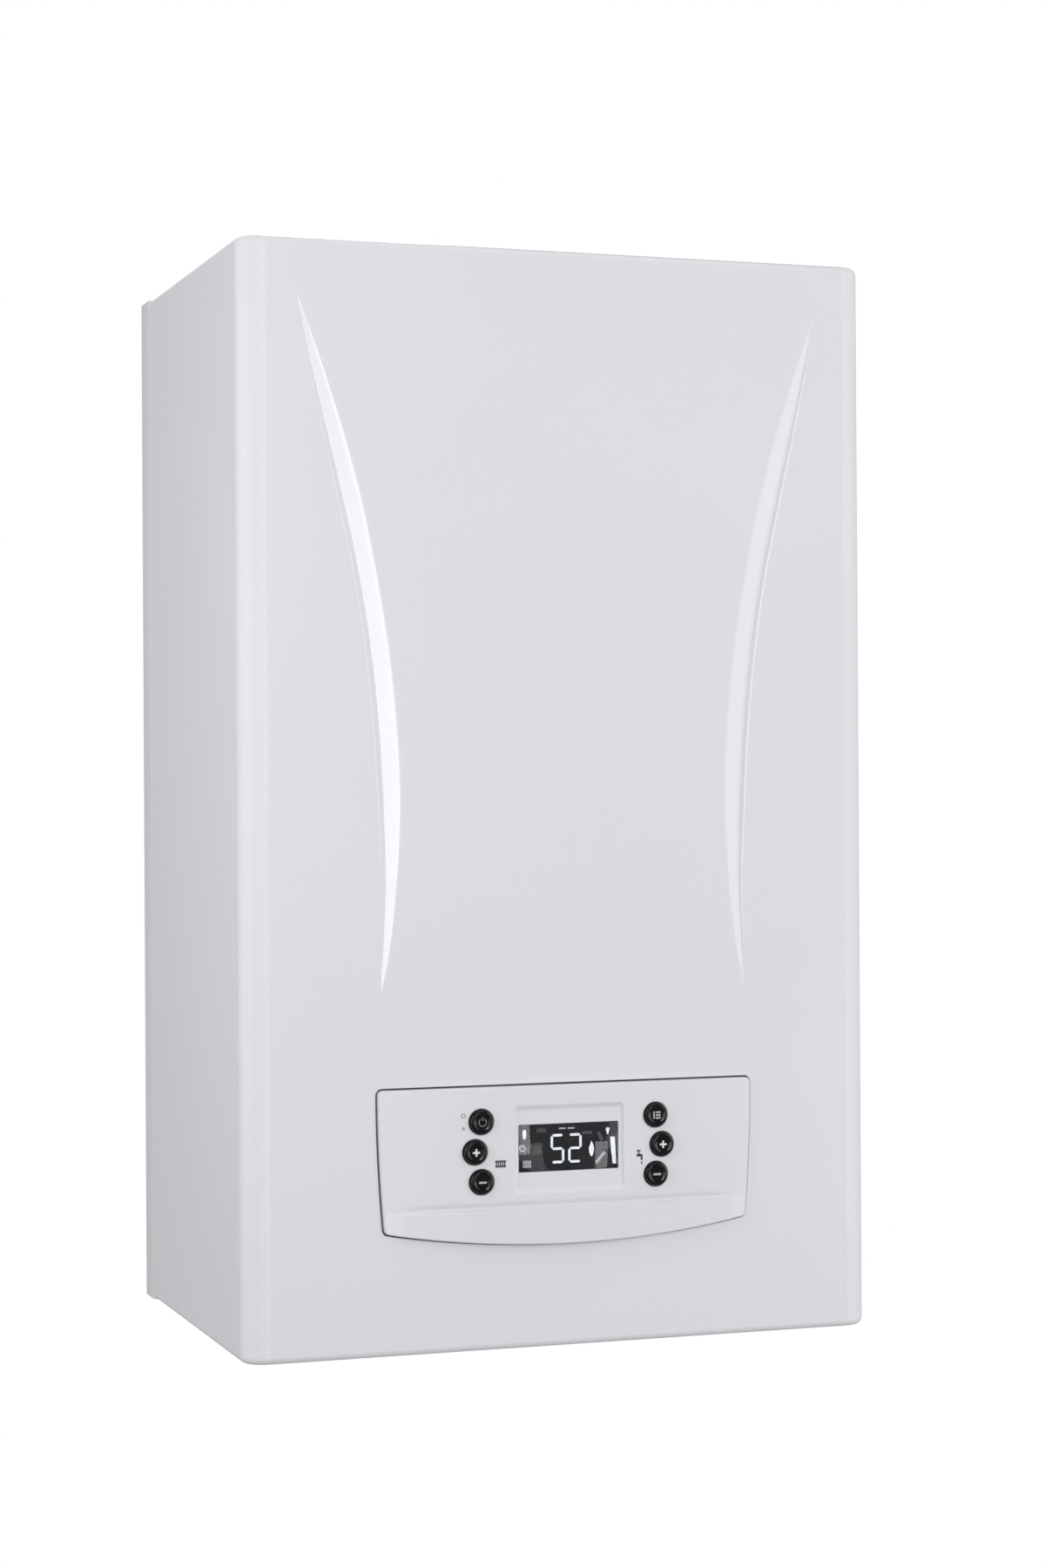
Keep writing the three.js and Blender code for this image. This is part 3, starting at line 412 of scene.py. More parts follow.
def satin_bends(m, start, end, more):
    """The powder coat is a little rougher on the bends and the sides than on the flat front."""
    nt = m.node_tree
    b = next(n for n in nt.nodes if n.type == "BSDF_PRINCIPLED")
    tc = next(n for n in nt.nodes if n.type == "TEX_COORD")
    base = b.inputs["Roughness"].links[0].from_socket
    sep, mag, mr, add = nt.nodes.new("ShaderNodeSeparateXYZ"), nt.nodes.new("ShaderNodeMath"), nt.nodes.new("ShaderNodeMapRange"), nt.nodes.new("ShaderNodeMath")
    mag.operation, add.operation = "ABSOLUTE", "ADD"
    nt.links.new(tc.outputs["Object"], sep.inputs[0])
    nt.links.new(sep.outputs["X"], mag.inputs[0])
    nt.links.new(mag.outputs[0], mr.inputs["Value"])
    mr.inputs["From Min"].default_value, mr.inputs["From Max"].default_value = start, end
    mr.inputs["To Min"].default_value, mr.inputs["To Max"].default_value = 0.0, more
    mr.interpolation_type = "SMOOTHSTEP"
    nt.links.new(base, add.inputs[0])
    nt.links.new(mr.outputs[0], add.inputs[1])
    nt.links.new(add.outputs[0], b.inputs["Roughness"])


satin_bends(M["casing_white"], 0.187, 0.193, 0.34)


# ------------------------------------------------------------------ front casing
FR, SH, HW, CR, RT, HT, BACK, FL = -140.5, 1.2, 205.0, 15.0, 4.5, 678.0, 120.0, 12.0
FASCIA_GAP = 1.0
FLUTE = [(645, 169.6, 169.8), (635, 165.2, 169.6), (618, 157.9, 167.4), (602, 152.9, 163.9), (585, 148.0, 159.6), (551, 138.6, 150.9), (518, 129.9, 142.9), (485, 122.7, 135.2),
         (451, 116.8, 129.6), (418, 112.4, 125.6), (385, 109.0, 122.2), (352, 106.8, 120.0), (320, 106.4, 118.9), (287, 108.1, 118.7), (254, 112.2, 119.4), (236, 115.4, 119.8), (222, 119.0, 119.6)]


def pchip(x, y, q):
    x, y, q = np.asarray(x, float), np.asarray(y, float), np.asarray(q, float)
    h, d = np.diff(x), np.diff(y) / np.diff(x)
    m = np.zeros(len(x))
    for i in range(1, len(x) - 1):
        if d[i - 1] * d[i] > 0:
            w1, w2 = 2 * h[i] + h[i - 1], h[i] + 2 * h[i - 1]
            m[i] = (w1 + w2) / (w1 / d[i - 1] + w2 / d[i])
    m[0], m[-1] = d[0], d[-1]
    i = np.clip(np.searchsorted(x, q) - 1, 0, len(x) - 2)
    t = (q - x[i]) / h[i]
    return (2 * t**3 - 3 * t**2 + 1) * y[i] + (t**3 - 2 * t**2 + t) * h[i] * m[i] + (-2 * t**3 + 3 * t**2) * y[i + 1] + (t**3 - t**2) * h[i] * m[i + 1]


_fz = np.array([r[0] for r in FLUTE[::-1]], float)
_fc = np.array([(r[1] + r[2]) / 2 for r in FLUTE[::-1]])
_fw = np.array([r[2] - r[1] for r in FLUTE[::-1]])
# a smooth centre line through the measured points
_poly = np.polyfit((_fz - 435) / 213, _fc, 5)


def flute_at(z):
    """(inner x, outer x, width of the pressing, width of its mesh columns) at a height."""
    c = float(np.polyval(_poly, (z - 435) / 213))
    w = float(pchip(_fz, _fw, min(max(z, 222), 645))) if 222 < z < 645 else 0.0
    w *= float(np.interp(z, (560, 600, 645), (1.0, 0.86, 0.42)))
    k = float(np.interp(z, (240, 290, 330, 360, 520, 560, 605, 640), (0, 0.1, 0.8, 1, 1, 0.75, 0.1, 0)))
    xi, xo = c - w * 0.52 - 2.4 * k, c + w * 0.52 + 2.8 * k
    c, w = (xi + xo) / 2, max(xo - xi, 0.0)
    wc = max(w, 2.4)
    return c - wc / 2, c + wc / 2, w, wc


def section():
    """Cross-section of the pressing, 12 wide: from the outer edge (0) it rolls down to a valley, then a long facet climbs to a soft inner edge at 12."""
    slope = 0.165
    pts = [(0, 0), (0.5, 0.02), (1.0, 0.09), (1.4, 0.20), (1.8, 0.38), (2.2, 0.63), (2.5, 0.84), (2.8, 1.02), (3.1, 1.13), (3.4, 1.175), (3.7, 1.165)]
    pts += [(t, 0.198 + slope * (9.6 - t)) for t in (4.0, 4.6, 5.6, 6.8, 8.0, 9.0, 9.6)]
    pts += [(t, slope / 4.8 * (12 - t) ** 2) for t in (10.1, 10.6, 11.1, 11.6, 12.0)]
    return pts


SECTION = section()
_sx, _sd = np.array([p[0] for p in SECTION]), np.array([p[1] for p in SECTION])


def flute_depth(x, z):
    xi, xo, w, wc = flute_at(z)
    if w <= 0.02:
        return 0.0
    c, s = (xi + xo) / 2, w / 12.0
    t = (c + w / 2 - abs(x)) / s
    return float(np.interp(t, _sx, _sd)) * s if 0 < t < 12 else 0.0


def fascia_base(n_arc=44):
    side = lambda z: 122 - 3.8 * ((162 - z) / 86) ** 2
    low = lambda x: 64.2 + 7.3 * (x / 97.5) ** 2
    pts, rad = [(122.0, 162.0)], [3.0]
    for z in (152, 142, 132, 122, 112, 102, 94, 87, 81):
        pts.append((side(z), z)); rad.append(0)
    xc = 118.0
    pts.append((xc, low(xc))); rad.append(3.2)
    xs = np.linspace(xc - 4.5, -xc + 4.5, n_arc)
    for x in xs:
        pts.append((float(x), low(x))); rad.append(0)
    pts.append((-xc, low(xc))); rad.append(3.2)
    for z in (81, 87, 94, 102, 112, 122, 132, 142, 152):
        pts.append((-side(z), z)); rad.append(0)
    pts.append((-122.0, 162.0)); rad.append(3.0)
    for x in np.linspace(-112, 112, 15):
        pts.append((float(x), 162.0)); rad.append(0)
    return filleted(pts, rad, 6)


BASE = np.array(fascia_base())


def offset(loop, d):
    """A closed clockwise or counter-clockwise outline moved outward by d."""
    p = np.array(loop, float)
    a, b = np.roll(p, 1, 0), np.roll(p, -1, 0)
    e1, e2 = p - a, b - p
    n1 = np.stack([e1[:, 1], -e1[:, 0]], 1) / np.linalg.norm(e1, axis=1)[:, None]
    n2 = np.stack([e2[:, 1], -e2[:, 0]], 1) / np.linalg.norm(e2, axis=1)[:, None]
    area = 0.5 * np.sum(p[:, 0] * b[:, 1] - b[:, 0] * p[:, 1])
    if area < 0:
        n1, n2 = -n1, -n2
    n = n1 + n2
    n /= np.linalg.norm(n, axis=1)[:, None]
    cosine = np.clip(np.sum(n * n1, axis=1), 0.5, 1)
    return p + n * (d / cosine)[:, None]


def triangulate(outer, holes, points=(), lines=()):
    """Triangles over a 2-D region with holes. Returns the points, the triangles and where each input point went."""
    co, edges, loops = [], [], []
    for loop in [outer, *holes]:
        s = len(co)
        co += [Vector((float(a), float(b))) for a, b in loop]
        edges += [(s + i, s + (i + 1) % len(loop)) for i in range(len(loop))]
        loops.append(list(range(s, s + len(loop))))
    for line in lines:
        s = len(co)
        co += [Vector((float(a), float(b))) for a, b in line]
        edges += [(s + i, s + i + 1) for i in range(len(line) - 1)]
    co += [Vector((float(a), float(b))) for a, b in points]
    v, _, f, ov, _, _ = delaunay_2d_cdt(co, edges, [], 0, 1e-5)
    place = {}
    for i, src in enumerate(ov):
        for s in src:
            place[s] = i
    pts = np.array([(p.x, p.y) for p in v])

    def inside(q, loop):
        x, y, r = q[0], q[1], False
        j = len(loop) - 1
        for i in range(len(loop)):
            xi, yi, xj, yj = loop[i][0], loop[i][1], loop[j][0], loop[j][1]
            if (yi > y) != (yj > y) and x < (xj - xi) * (y - yi) / (yj - yi) + xi:
                r = not r
            j = i
        return r

    keep = []
    for t in f:
        c = pts[list(t)].mean(0)
        if inside(c, outer) and not any(inside(c, h) for h in holes):
            keep.append(list(t))
    return pts, keep, [[place[i] for i in loop] for loop in loops]


class Sheet:
    """A welded mesh built from parts that share vertices by place."""

    def __init__(self):
        self.v, self.n, self.f, self.exact, self.at = [], [], [], [], {}

    def vert(self, p, n=None):
        key = tuple(round(float(c), 4) for c in p)
        if key not in self.at:
            self.at[key] = len(self.v)
            self.v.append(tuple(float(c) for c in p))
            self.n.append(n)
        elif n is not None and self.n[self.at[key]] is None:
            self.n[self.at[key]] = n
        return self.at[key]

    def face(self, ids, exact=False):
        ids = [x for k, x in enumerate(ids) if x != ids[k - 1]]
        if len(set(ids)) > 2:
            self.f.append(ids)
            self.exact.append(exact)

    def piece(self, name, mats, body, replaces, slot, angle=40.0, mat_of=None):
        me = bpy.data.meshes.new(name)
        me.from_pydata([tuple(c * MM for c in p) for p in self.v], [], self.f)
        for m in mats:
            me.materials.append(m)
        if mat_of:
            me.polygons.foreach_set("material_index", mat_of)
        vn = [n if n is not None else (0, 0, 0) for n in self.n]
        finish_mesh(me, angle, ([i for i, x in enumerate(self.exact) if x], vn))
        ob = bpy.data.objects.new(name, me)
        scene.collection.objects.link(ob)
        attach(ob, body)
        if replaces:
            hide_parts(*([replaces] if isinstance(replaces, str) else replaces))
        return ob


def make_casing():
    s = Sheet()
    rows = [206.0, 212, 217, 221, 224, 227] + list(np.arange(231, 640, 5.0)) + [641, 643.5, 646, 648, 650, 655, 664, HT - RT]
    arc_n = 5
    # levels of the profile over the height, outer face: (inset, z, outward share, up share)
    bottom = [(FL, 0.0, 0, -1), (8.0, 0.0, 0, -1)] + [(RT - RT * math.sin(a), RT - RT * math.cos(a), math.sin(a), -math.cos(a)) for a in [k / arc_n * math.pi / 2 for k in range(arc_n + 1)]]
    top = [(d, HT - z, a, -b) for d, z, a, b in reversed(bottom)]
    rt = RT - SH
    ibottom = [(FL, SH)] + [(8.0, SH)] + [(RT - rt * math.sin(a), RT - rt * math.cos(a)) for a in [k / arc_n * math.pi / 2 for k in range(arc_n + 1)]]
    itop = [(d, HT - z) for d, z in reversed(ibottom)]

    # stations round the plan: (kind, data)
    def side_at(sgn, y):
        return lambda d: (sgn * (HW - d), y), (sgn, 0.0)

    def corner_at(sgn, deg):
        c, a = (sgn * (HW - CR), FR + CR), math.radians(deg)
        return lambda d: (c[0] + (CR - d) * math.cos(a), c[1] + (CR - d) * math.sin(a)), (math.cos(a), math.sin(a))

    ys = [BACK, BACK - 0.8, 60, 0, -60, FR + CR + 1.0]
    left = [side_at(-1, y) for y in ys] + [corner_at(-1, 180 + 90 * k / 10) for k in range(11)]
    right = [corner_at(1, 270 + 90 * k / 10) for k in range(11)] + [side_at(1, y) for y in reversed(ys)]

    def wall(stations, zs_out, zs_in):
        out, inn = [], []
        for pos, (nx, ny) in stations:
            col = []
            for d, z, a, b in bottom[:-1]:
                col.append(s.vert((*pos(d), z), (nx * a, ny * a, b)))
            for z in zs_out:
                col.append(s.vert((*pos(0), z), (nx, ny, 0)))
            for d, z, a, b in top[1:]:
                col.append(s.vert((*pos(d), z), (nx * a, ny * a, b)))
            out.append(col)
            inn.append([s.vert((*pos(d), z)) for d, z in ibottom[:-1]] + [s.vert((*pos(SH), z)) for z in zs_in] + [s.vert((*pos(d), z)) for d, z in itop[1:]])
        return out, inn

    zs = [RT] + rows
    lo, li = wall(left, zs, zs)
    ro, ri = wall(right, zs, zs)
    for cols_o, cols_i in ((lo, li), (ro, ri)):
        for a, b in zip(cols_o, cols_o[1:]):
            for i in range(len(a) - 1):
                s.face([a[i], b[i], b[i + 1], a[i + 1]], True)
        for a, b in zip(cols_i, cols_i[1:]):
            for i in range(len(a) - 1):
                s.face([a[i], a[i + 1], b[i + 1], b[i]])
    # the raw rear edges
    for o, i_, flip in ((lo[0], li[0], False), (ro[-1], ri[-1], True)):
        for k in range(len(o) - 1):
            q = [o[k], o[k + 1], i_[k + 1], i_[k]]
            s.face(q if not flip else q[::-1])
    # the front: columns follow the flutes
    frac = [p[0] / 12.0 for p in SECTION]

    def columns(z):
        xi, xo, w, wc = flute_at(z)
        half = [xi + wc * (1 - t) for t in frac]  # from the outer edge inwards
        outer = [HW - CR, HW - CR - 1.2, xo + (HW - CR - xo) * 0.6, xo + (HW - CR - xo) * 0.25, xo + 0.9]
        inner = [xi - 0.5, xi * 0.955, xi * 0.82, xi * 0.62, xi * 0.4, xi * 0.2]
        h = outer + half + inner
        return [-x for x in h] + [0.0] + h[::-1]

    eps = 0.02

    def front_y(x, z):
        return FR + flute_depth(x, z)

    def front_n(x, z):
        gx = (flute_depth(x + eps, z) - flute_depth(x - eps, z)) / (2 * eps)
        gz = (flute_depth(x, z + 0.8) - flute_depth(x, z - 0.8)) / 1.6
        n = np.array([gx, -1.0, gz])
        return tuple(n / np.linalg.norm(n))

    fo, fi = [], []
    for z in rows:
        xs = columns(z)
        fo.append([s.vert((x, front_y(x, z), z), front_n(x, z)) for x in xs])
        fi.append([s.vert((x, front_y(x, z) + SH, z)) for x in xs])
    xs_top = columns(rows[-1])
    for d, z, a, b in top[1:]:
        fo.append([s.vert((x, FR + d, z), (0, -a, b)) for x in xs_top])
    for d, z in itop[1:]:
        fi.append([s.vert((x, FR + d, z)) for x in xs_top])
    for a, b in zip(fo, fo[1:]):
        for i in range(len(a) - 1):
            s.face([a[i], a[i + 1], b[i + 1], b[i]], True)
    for a, b in zip(fi, fi[1:]):
        for i in range(len(a) - 1):
            s.face([a[i], b[i], b[i + 1], a[i + 1]])
    # flat lower part, with the opening for the controls
    xs_bot = [-(HW - CR), -(HW - CR - 1.2), -150, -75, 0, 75, 150, HW - CR - 1.2, HW - CR]
    xs_mid = columns(rows[0])
    hole0, hole1 = offset(BASE, FASCIA_GAP + 0.7), offset(BASE, FASCIA_GAP + SH)
    ring = [(x, rows[0]) for x in xs_mid] + [(x, RT) for x in reversed(xs_bot)]
    for hole, y, exact in ((hole0, FR, True), (hole1, FR + SH, False)):
        pts, tri, loops = triangulate(ring, [hole], [(x, z) for x in (-170, 170) for z in (40, 80, 120, 160)])
        ids = [s.vert((p[0], y, p[1]), (0, -1, 0) if exact else None) for p in pts]
        for t in tri:
            a, b, c = pts[t[0]], pts[t[1]], pts[t[2]]
            ccw = (b[0] - a[0]) * (c[1] - a[1]) - (b[1] - a[1]) * (c[0] - a[0]) > 0
            q = [ids[i] for i in (t if ccw == exact else t[::-1])]
            s.face(q, exact)
    bo = [[s.vert((x, FR + d, z), (0, -a, b)) for x in xs_bot] for d, z, a, b in bottom]
    bi = [[s.vert((x, FR + d, z)) for x in xs_bot] for d, z in ibottom]
    for a, b in zip(bo, bo[1:]):
        for i in range(len(a) - 1):
            s.face([a[i], a[i + 1], b[i + 1], b[i]], True)
    for a, b in zip(bi, bi[1:]):
        for i in range(len(a) - 1):
            s.face([a[i], b[i], b[i + 1], a[i + 1]])
    # rolled rim of the opening: over the edge, back 3 mm, and up to the inner face
    rim = []
    for k in range(5):
        a = k / 4 * math.pi / 2
        off, y = FASCIA_GAP + 0.7 - 0.7 * math.sin(a), FR + 0.7 - 0.7 * math.cos(a)
        rim.append([s.vert((p[0], y, p[1])) for p in offset(BASE, off)])
    rim.append([s.vert((p[0], -137.3, p[1])) for p in offset(BASE, FASCIA_GAP)])
    rim.append([s.vert((p[0], -137.3, p[1])) for p in offset(BASE, FASCIA_GAP + SH)])
    rim.append([s.vert((p[0], FR + SH, p[1])) for p in hole1])
    n = len(BASE)
    for a, b in zip(rim, rim[1:]):
        for i in range(n):
            j = (i + 1) % n
            s.face([a[i], b[i], b[j], a[j]])
    # flange edges, closing the sheet between its outer and inner face
    edge_o = {"b": [c[0] for c in lo] + bo[0][1:-1] + [c[0] for c in ro], "t": [c[-1] for c in lo] + fo[-1][1:-1] + [c[-1] for c in ro]}
    edge_i = {"b": [c[0] for c in li] + bi[0][1:-1] + [c[0] for c in ri], "t": [c[-1] for c in li] + fi[-1][1:-1] + [c[-1] for c in ri]}
    for key in ("b", "t"):
        o, i_ = edge_o[key], edge_i[key]
        for k in range(len(o) - 1):
            q = [o[k], i_[k], i_[k + 1], o[k + 1]]
            s.face(q if key == "b" else q[::-1])
    # ears for the two captive screws, folded in from the bottom flange
    ob = s.piece("front_casing_sheet", [M["casing_white"]], "casing", "front_casing", "casing_white", 40)
    ears = Part()
    for x in (-150, 150):
        ears.add(prism([(x - 10, -129), (x + 10, -129), (x + 10, -107), *arc(x + 8, -107, 2, 0, 90, 4), *arc(x - 8, -107, 2, 90, 180, 4), (x - 10, -107)], 4.1, 5.5, "z", 0.3))
        ears.add(block(x - 10, x + 10, -130, -128.6, 1.2, 5.5, 0.3))
    ears.piece("casing_screw_ears", [M["casing_white"]], "casing", slot="casing_white")
    return ob


casing = make_casing()


# ------------------------------------------------------------------ control fascia
BUTTONS = {"button_left_top": (-57.1, 141.0), "button_left_middle": (-61.2, 122.6), "button_left_bottom": (-57.1, 104.2),
           "button_right_top": (57.1, 141.0), "button_right_middle": (61.2, 122.6), "button_right_bottom": (57.1, 104.2)}
POCKET_FLOOR = -143.5


def smooth(t):
    t = min(1.0, max(0.0, t))
    return t * t * (3 - 2 * t)


def fascia_y(x, z):
    """Front face of the moulding: bowed, with a crease that fades to both ends above a fuller chin."""
    u = 1 - (x / 125.0) ** 2
    fade = smooth((112 - abs(x)) / 26)
    chin = smooth((87.5 - z) / 1.3) * (1.05 + 0.4 * u) * smooth((119 - abs(x)) / 12)
    groove = math.exp(-(((z - 88.0) / (1.9 if z > 88.0 else 0.95)) ** 2)) * 1.45 * fade
    return FR - 1.9 - 3.1 * u - chin + groove


def fascia_normal(x, z, e=0.05):
    gx = (fascia_y(x + e, z) - fascia_y(x - e, z)) / (2 * e)
    gz = (fascia_y(x, z + e) - fascia_y(x, z - e)) / (2 * e)
    n = np.array([gx, -1.0, gz])
    return tuple(n / np.linalg.norm(n))


def circle(x, z, r, n=40):
    return [(x + r * math.cos(2 * math.pi * i / n), z + r * math.sin(2 * math.pi * i / n)) for i in range(n)]


def make_fascia():
    s = Sheet()
    n = len(BASE)
    # points inside, denser at the crease
    pocket = [np.array(rrect(-35.2 - o, 35.2 + o, 97 - o, 148.5 + o, 2.6 + max(o, 0) * 0.7, 6)) for o in (1.7, 0.95, 0.3, -0.4, -1.1, -1.9)]
    pocket_t = [0.0, 0.10, 0.40, 0.72, 0.93, 1.0]
    holes = {k: [circle(x, z, r) for r in (8.7, 8.35, 8.1, 8.0)] for k, (x, z) in BUTTONS.items()}
    outer = offset(BASE, -1.0)

    def clear(x, z):
        if -37.5 < x < 37.5 and 94.5 < z < 151:
            return False
        if any((x - bx) ** 2 + (z - bz) ** 2 < 10.2**2 for bx, bz in BUTTONS.values()):
            return False
        side = 122 - 3.8 * ((162 - z) / 86) ** 2
        return abs(x) < side - 2.6 and 66.6 + 7.3 * (x / 97.5) ** 2 < z < 159.6

    pts = [(x, z) for z in [68, 70, 73, 76, 79, 82, 84.4] + [92, 96, 100, 105, 110, 115, 120, 125, 130, 135, 140, 145, 150, 154, 158] for x in np.arange(-117, 117.1, 4.5) if clear(x, z)]
    pts += [(x, z) for z in (85.2, 85.8, 86.2, 86.6, 87.0, 87.3, 87.6, 87.9, 88.2, 88.5, 88.9, 89.4, 90.2) for x in np.arange(-117, 117.1, 3.0) if clear(x, z)]
    v, tri, loops = triangulate([tuple(p) for p in outer], [[tuple(p) for p in pocket[0]], *[h[0] for h in holes.values()]], pts)
    ids = [s.vert((p[0], fascia_y(*p), p[1]), fascia_normal(*p)) for p in v]
    for t in tri:
        a, b, c = v[t[0]], v[t[1]], v[t[2]]
        ccw = (b[0] - a[0]) * (c[1] - a[1]) - (b[1] - a[1]) * (c[0] - a[0]) > 0
        s.face([ids[i] for i in (t if ccw else t[::-1])], True)

    def band(a, b):
        m = len(a)
        for i in range(m):
            j = (i + 1) % m
            s.face([a[i], b[i], b[j], a[j]])

    # outer edge: rounded, then straight back
    area = 0.5 * sum(BASE[i][0] * BASE[(i + 1) % n][1] - BASE[(i + 1) % n][0] * BASE[i][1] for i in range(n))
    rings = []
    for k in range(6):
        a = k / 5 * math.pi / 2
        loop, base = offset(BASE, -1.0 + math.sin(a)), outer
        rings.append([s.vert((p[0], fascia_y(q[0], q[1]) + 1.0 - math.cos(a), p[1])) for p, q in zip(loop, base)])
    rings.append([s.vert((p[0], -136.6, p[1])) for p in BASE])
    rings.append([s.vert((p[0], -136.6, p[1])) for p in offset(BASE, -2.4)])
    rings.append([s.vert((p[0], -141.0, p[1])) for p in offset(BASE, -2.5)])
    for a, b in zip(rings, rings[1:]):
        band(*((a, b) if area > 0 else (a[::-1], b[::-1])))
    back_outer = [tuple(p) for p in offset(BASE, -2.5)]
    # pocket walls, from the front face down to a flat floor
    prev = None
    for loop, t, lo in zip(pocket, pocket_t, [pocket[0]] * 6):
        ring = [s.vert((p[0], fascia_y(q[0], q[1]) * (1 - t) + POCKET_FLOOR * t, p[1])) for p, q in zip(loop, lo)]
        if prev:
            band(ring, prev)
        prev = ring
    lcd = rrect(-32.8, 32.8, 108.7, 138.0, 0.8, 4)
    lip = rrect(-33.1, 33.1, 108.4, 138.3, 1.1, 4)
    v, tri, loops = triangulate([tuple(p) for p in pocket[-1]], [[tuple(p) for p in lip]])
    ids = [s.vert((p[0], POCKET_FLOOR, p[1]), (0, -1, 0)) for p in v]
    for t in tri:
        a, b, c = v[t[0]], v[t[1]], v[t[2]]
        ccw = (b[0] - a[0]) * (c[1] - a[1]) - (b[1] - a[1]) * (c[0] - a[0]) > 0
        s.face([ids[i] for i in (t if ccw else t[::-1])], True)
    r0 = [s.vert((p[0], POCKET_FLOOR, p[1])) for p in lip]
    r1 = [s.vert((p[0], POCKET_FLOOR + 0.3, p[1])) for p in lcd]
    r2 = [s.vert((p[0], -141.0, p[1])) for p in lcd]
    band(r1, r0)
    band(r2, r1)
    # button holes
    back_holes = [lcd]
    for hs in holes.values():
        prev = None
        for loop, t in zip(hs, (0.0, 0.09, 0.3, 0.7)):
            ring = [s.vert((p[0], fascia_y(q[0], q[1]) + t, p[1])) for p, q in zip(loop, hs[0])]
            if prev:
                band(ring, prev)
            prev = ring
        end = [s.vert((p[0], -141.0, p[1])) for p in hs[-1]]
        band(end, prev)
        back_holes.append(hs[-1])
    v, tri, loops = triangulate(back_outer, back_holes)
    ids = [s.vert((p[0], -141.0, p[1])) for p in v]
    for t in tri:
        a, b, c = v[t[0]], v[t[1]], v[t[2]]
        ccw = (b[0] - a[0]) * (c[1] - a[1]) - (b[1] - a[1]) * (c[0] - a[0]) > 0
        s.face([ids[i] for i in (t[::-1] if ccw else t)])
    return s.piece("control_fascia_moulding", [M["fascia_white"]], ROOT, "control_fascia", "fascia_white", 38)


fascia = make_fascia()


# ------------------------------------------------------------------ display
def poly_plate(outline, y, t=0.08, on=None):
    """A thin plate facing the front: its outline in (x, z), its face at y or on the surface on(x, z)."""
    n = len(outline)
    yy = [(on(a, b) if on else y) for a, b in outline]
    v = [(a, c - t, b) for (a, b), c in zip(outline, yy)] + [(a, c, b) for (a, b), c in zip(outline, yy)]
    f = [list(range(n)), [n + i for i in reversed(range(n))]] + [[i, n + i, n + (i + 1) % n, (i + 1) % n] for i in range(n)]
    return consistent(np.array(v, float), f)


def bar2(x0, z0, x1, z1, w, pointed=0.0):
    """A straight stroke between two points, with pointed ends like a display segment."""
    d = np.array([x1 - x0, z1 - z0], float)
    length = np.linalg.norm(d)
    d /= length
    s = np.array([-d[1], d[0]]) * w / 2
    a, b = np.array([x0, z0], float), np.array([x1, z1], float)
    if pointed:
        return [tuple(a), tuple(a + d * pointed + s), tuple(b - d * pointed + s), tuple(b), tuple(b - d * pointed - s), tuple(a + d * pointed - s)]
    return [tuple(a + s), tuple(b + s), tuple(b - s), tuple(a - s)]


SEG = {"5": "afgcd", "2": "abged"}


def digit(part, ch, x0, z0, w, h, t, y, slant=0.0):
    g = 0.25
    xs, zs, zm = (x0 + t / 2, x0 + w - t / 2), (z0 + t / 2, z0 + h - t / 2), z0 + h / 2
    seg = {"a": (xs[0] + g, zs[1], xs[1] - g, zs[1]), "g": (xs[0] + g, zm, xs[1] - g, zm), "d": (xs[0] + g, zs[0], xs[1] - g, zs[0]),
           "f": (xs[0], zm + g, xs[0], zs[1] - g), "b": (xs[1], zm + g, xs[1], zs[1] - g), "e": (xs[0], zs[0] + g, xs[0], zm - g), "c": (xs[1], zs[0] + g, xs[1], zm - g)}
    for k in SEG[ch]:
        part.add(poly_plate([(px + slant * (pz - z0), pz) for px, pz in bar2(*seg[k], t, t / 2)], y))


def ring2(part, x, z, r, w, y, a0=0, a1=360, n=28, on=None, t=0.08):
    """An arc or a whole ring, as a thin plate."""
    for i in range(n):
        b0, b1 = math.radians(a0 + (a1 - a0) * i / n), math.radians(a0 + (a1 - a0) * (i + 1) / n)
        part.add(poly_plate([(x + q * math.cos(b), z + q * math.sin(b)) for q, b in ((r - w / 2, b0), (r + w / 2, b0), (r + w / 2, b1), (r - w / 2, b1))], y, t, on))


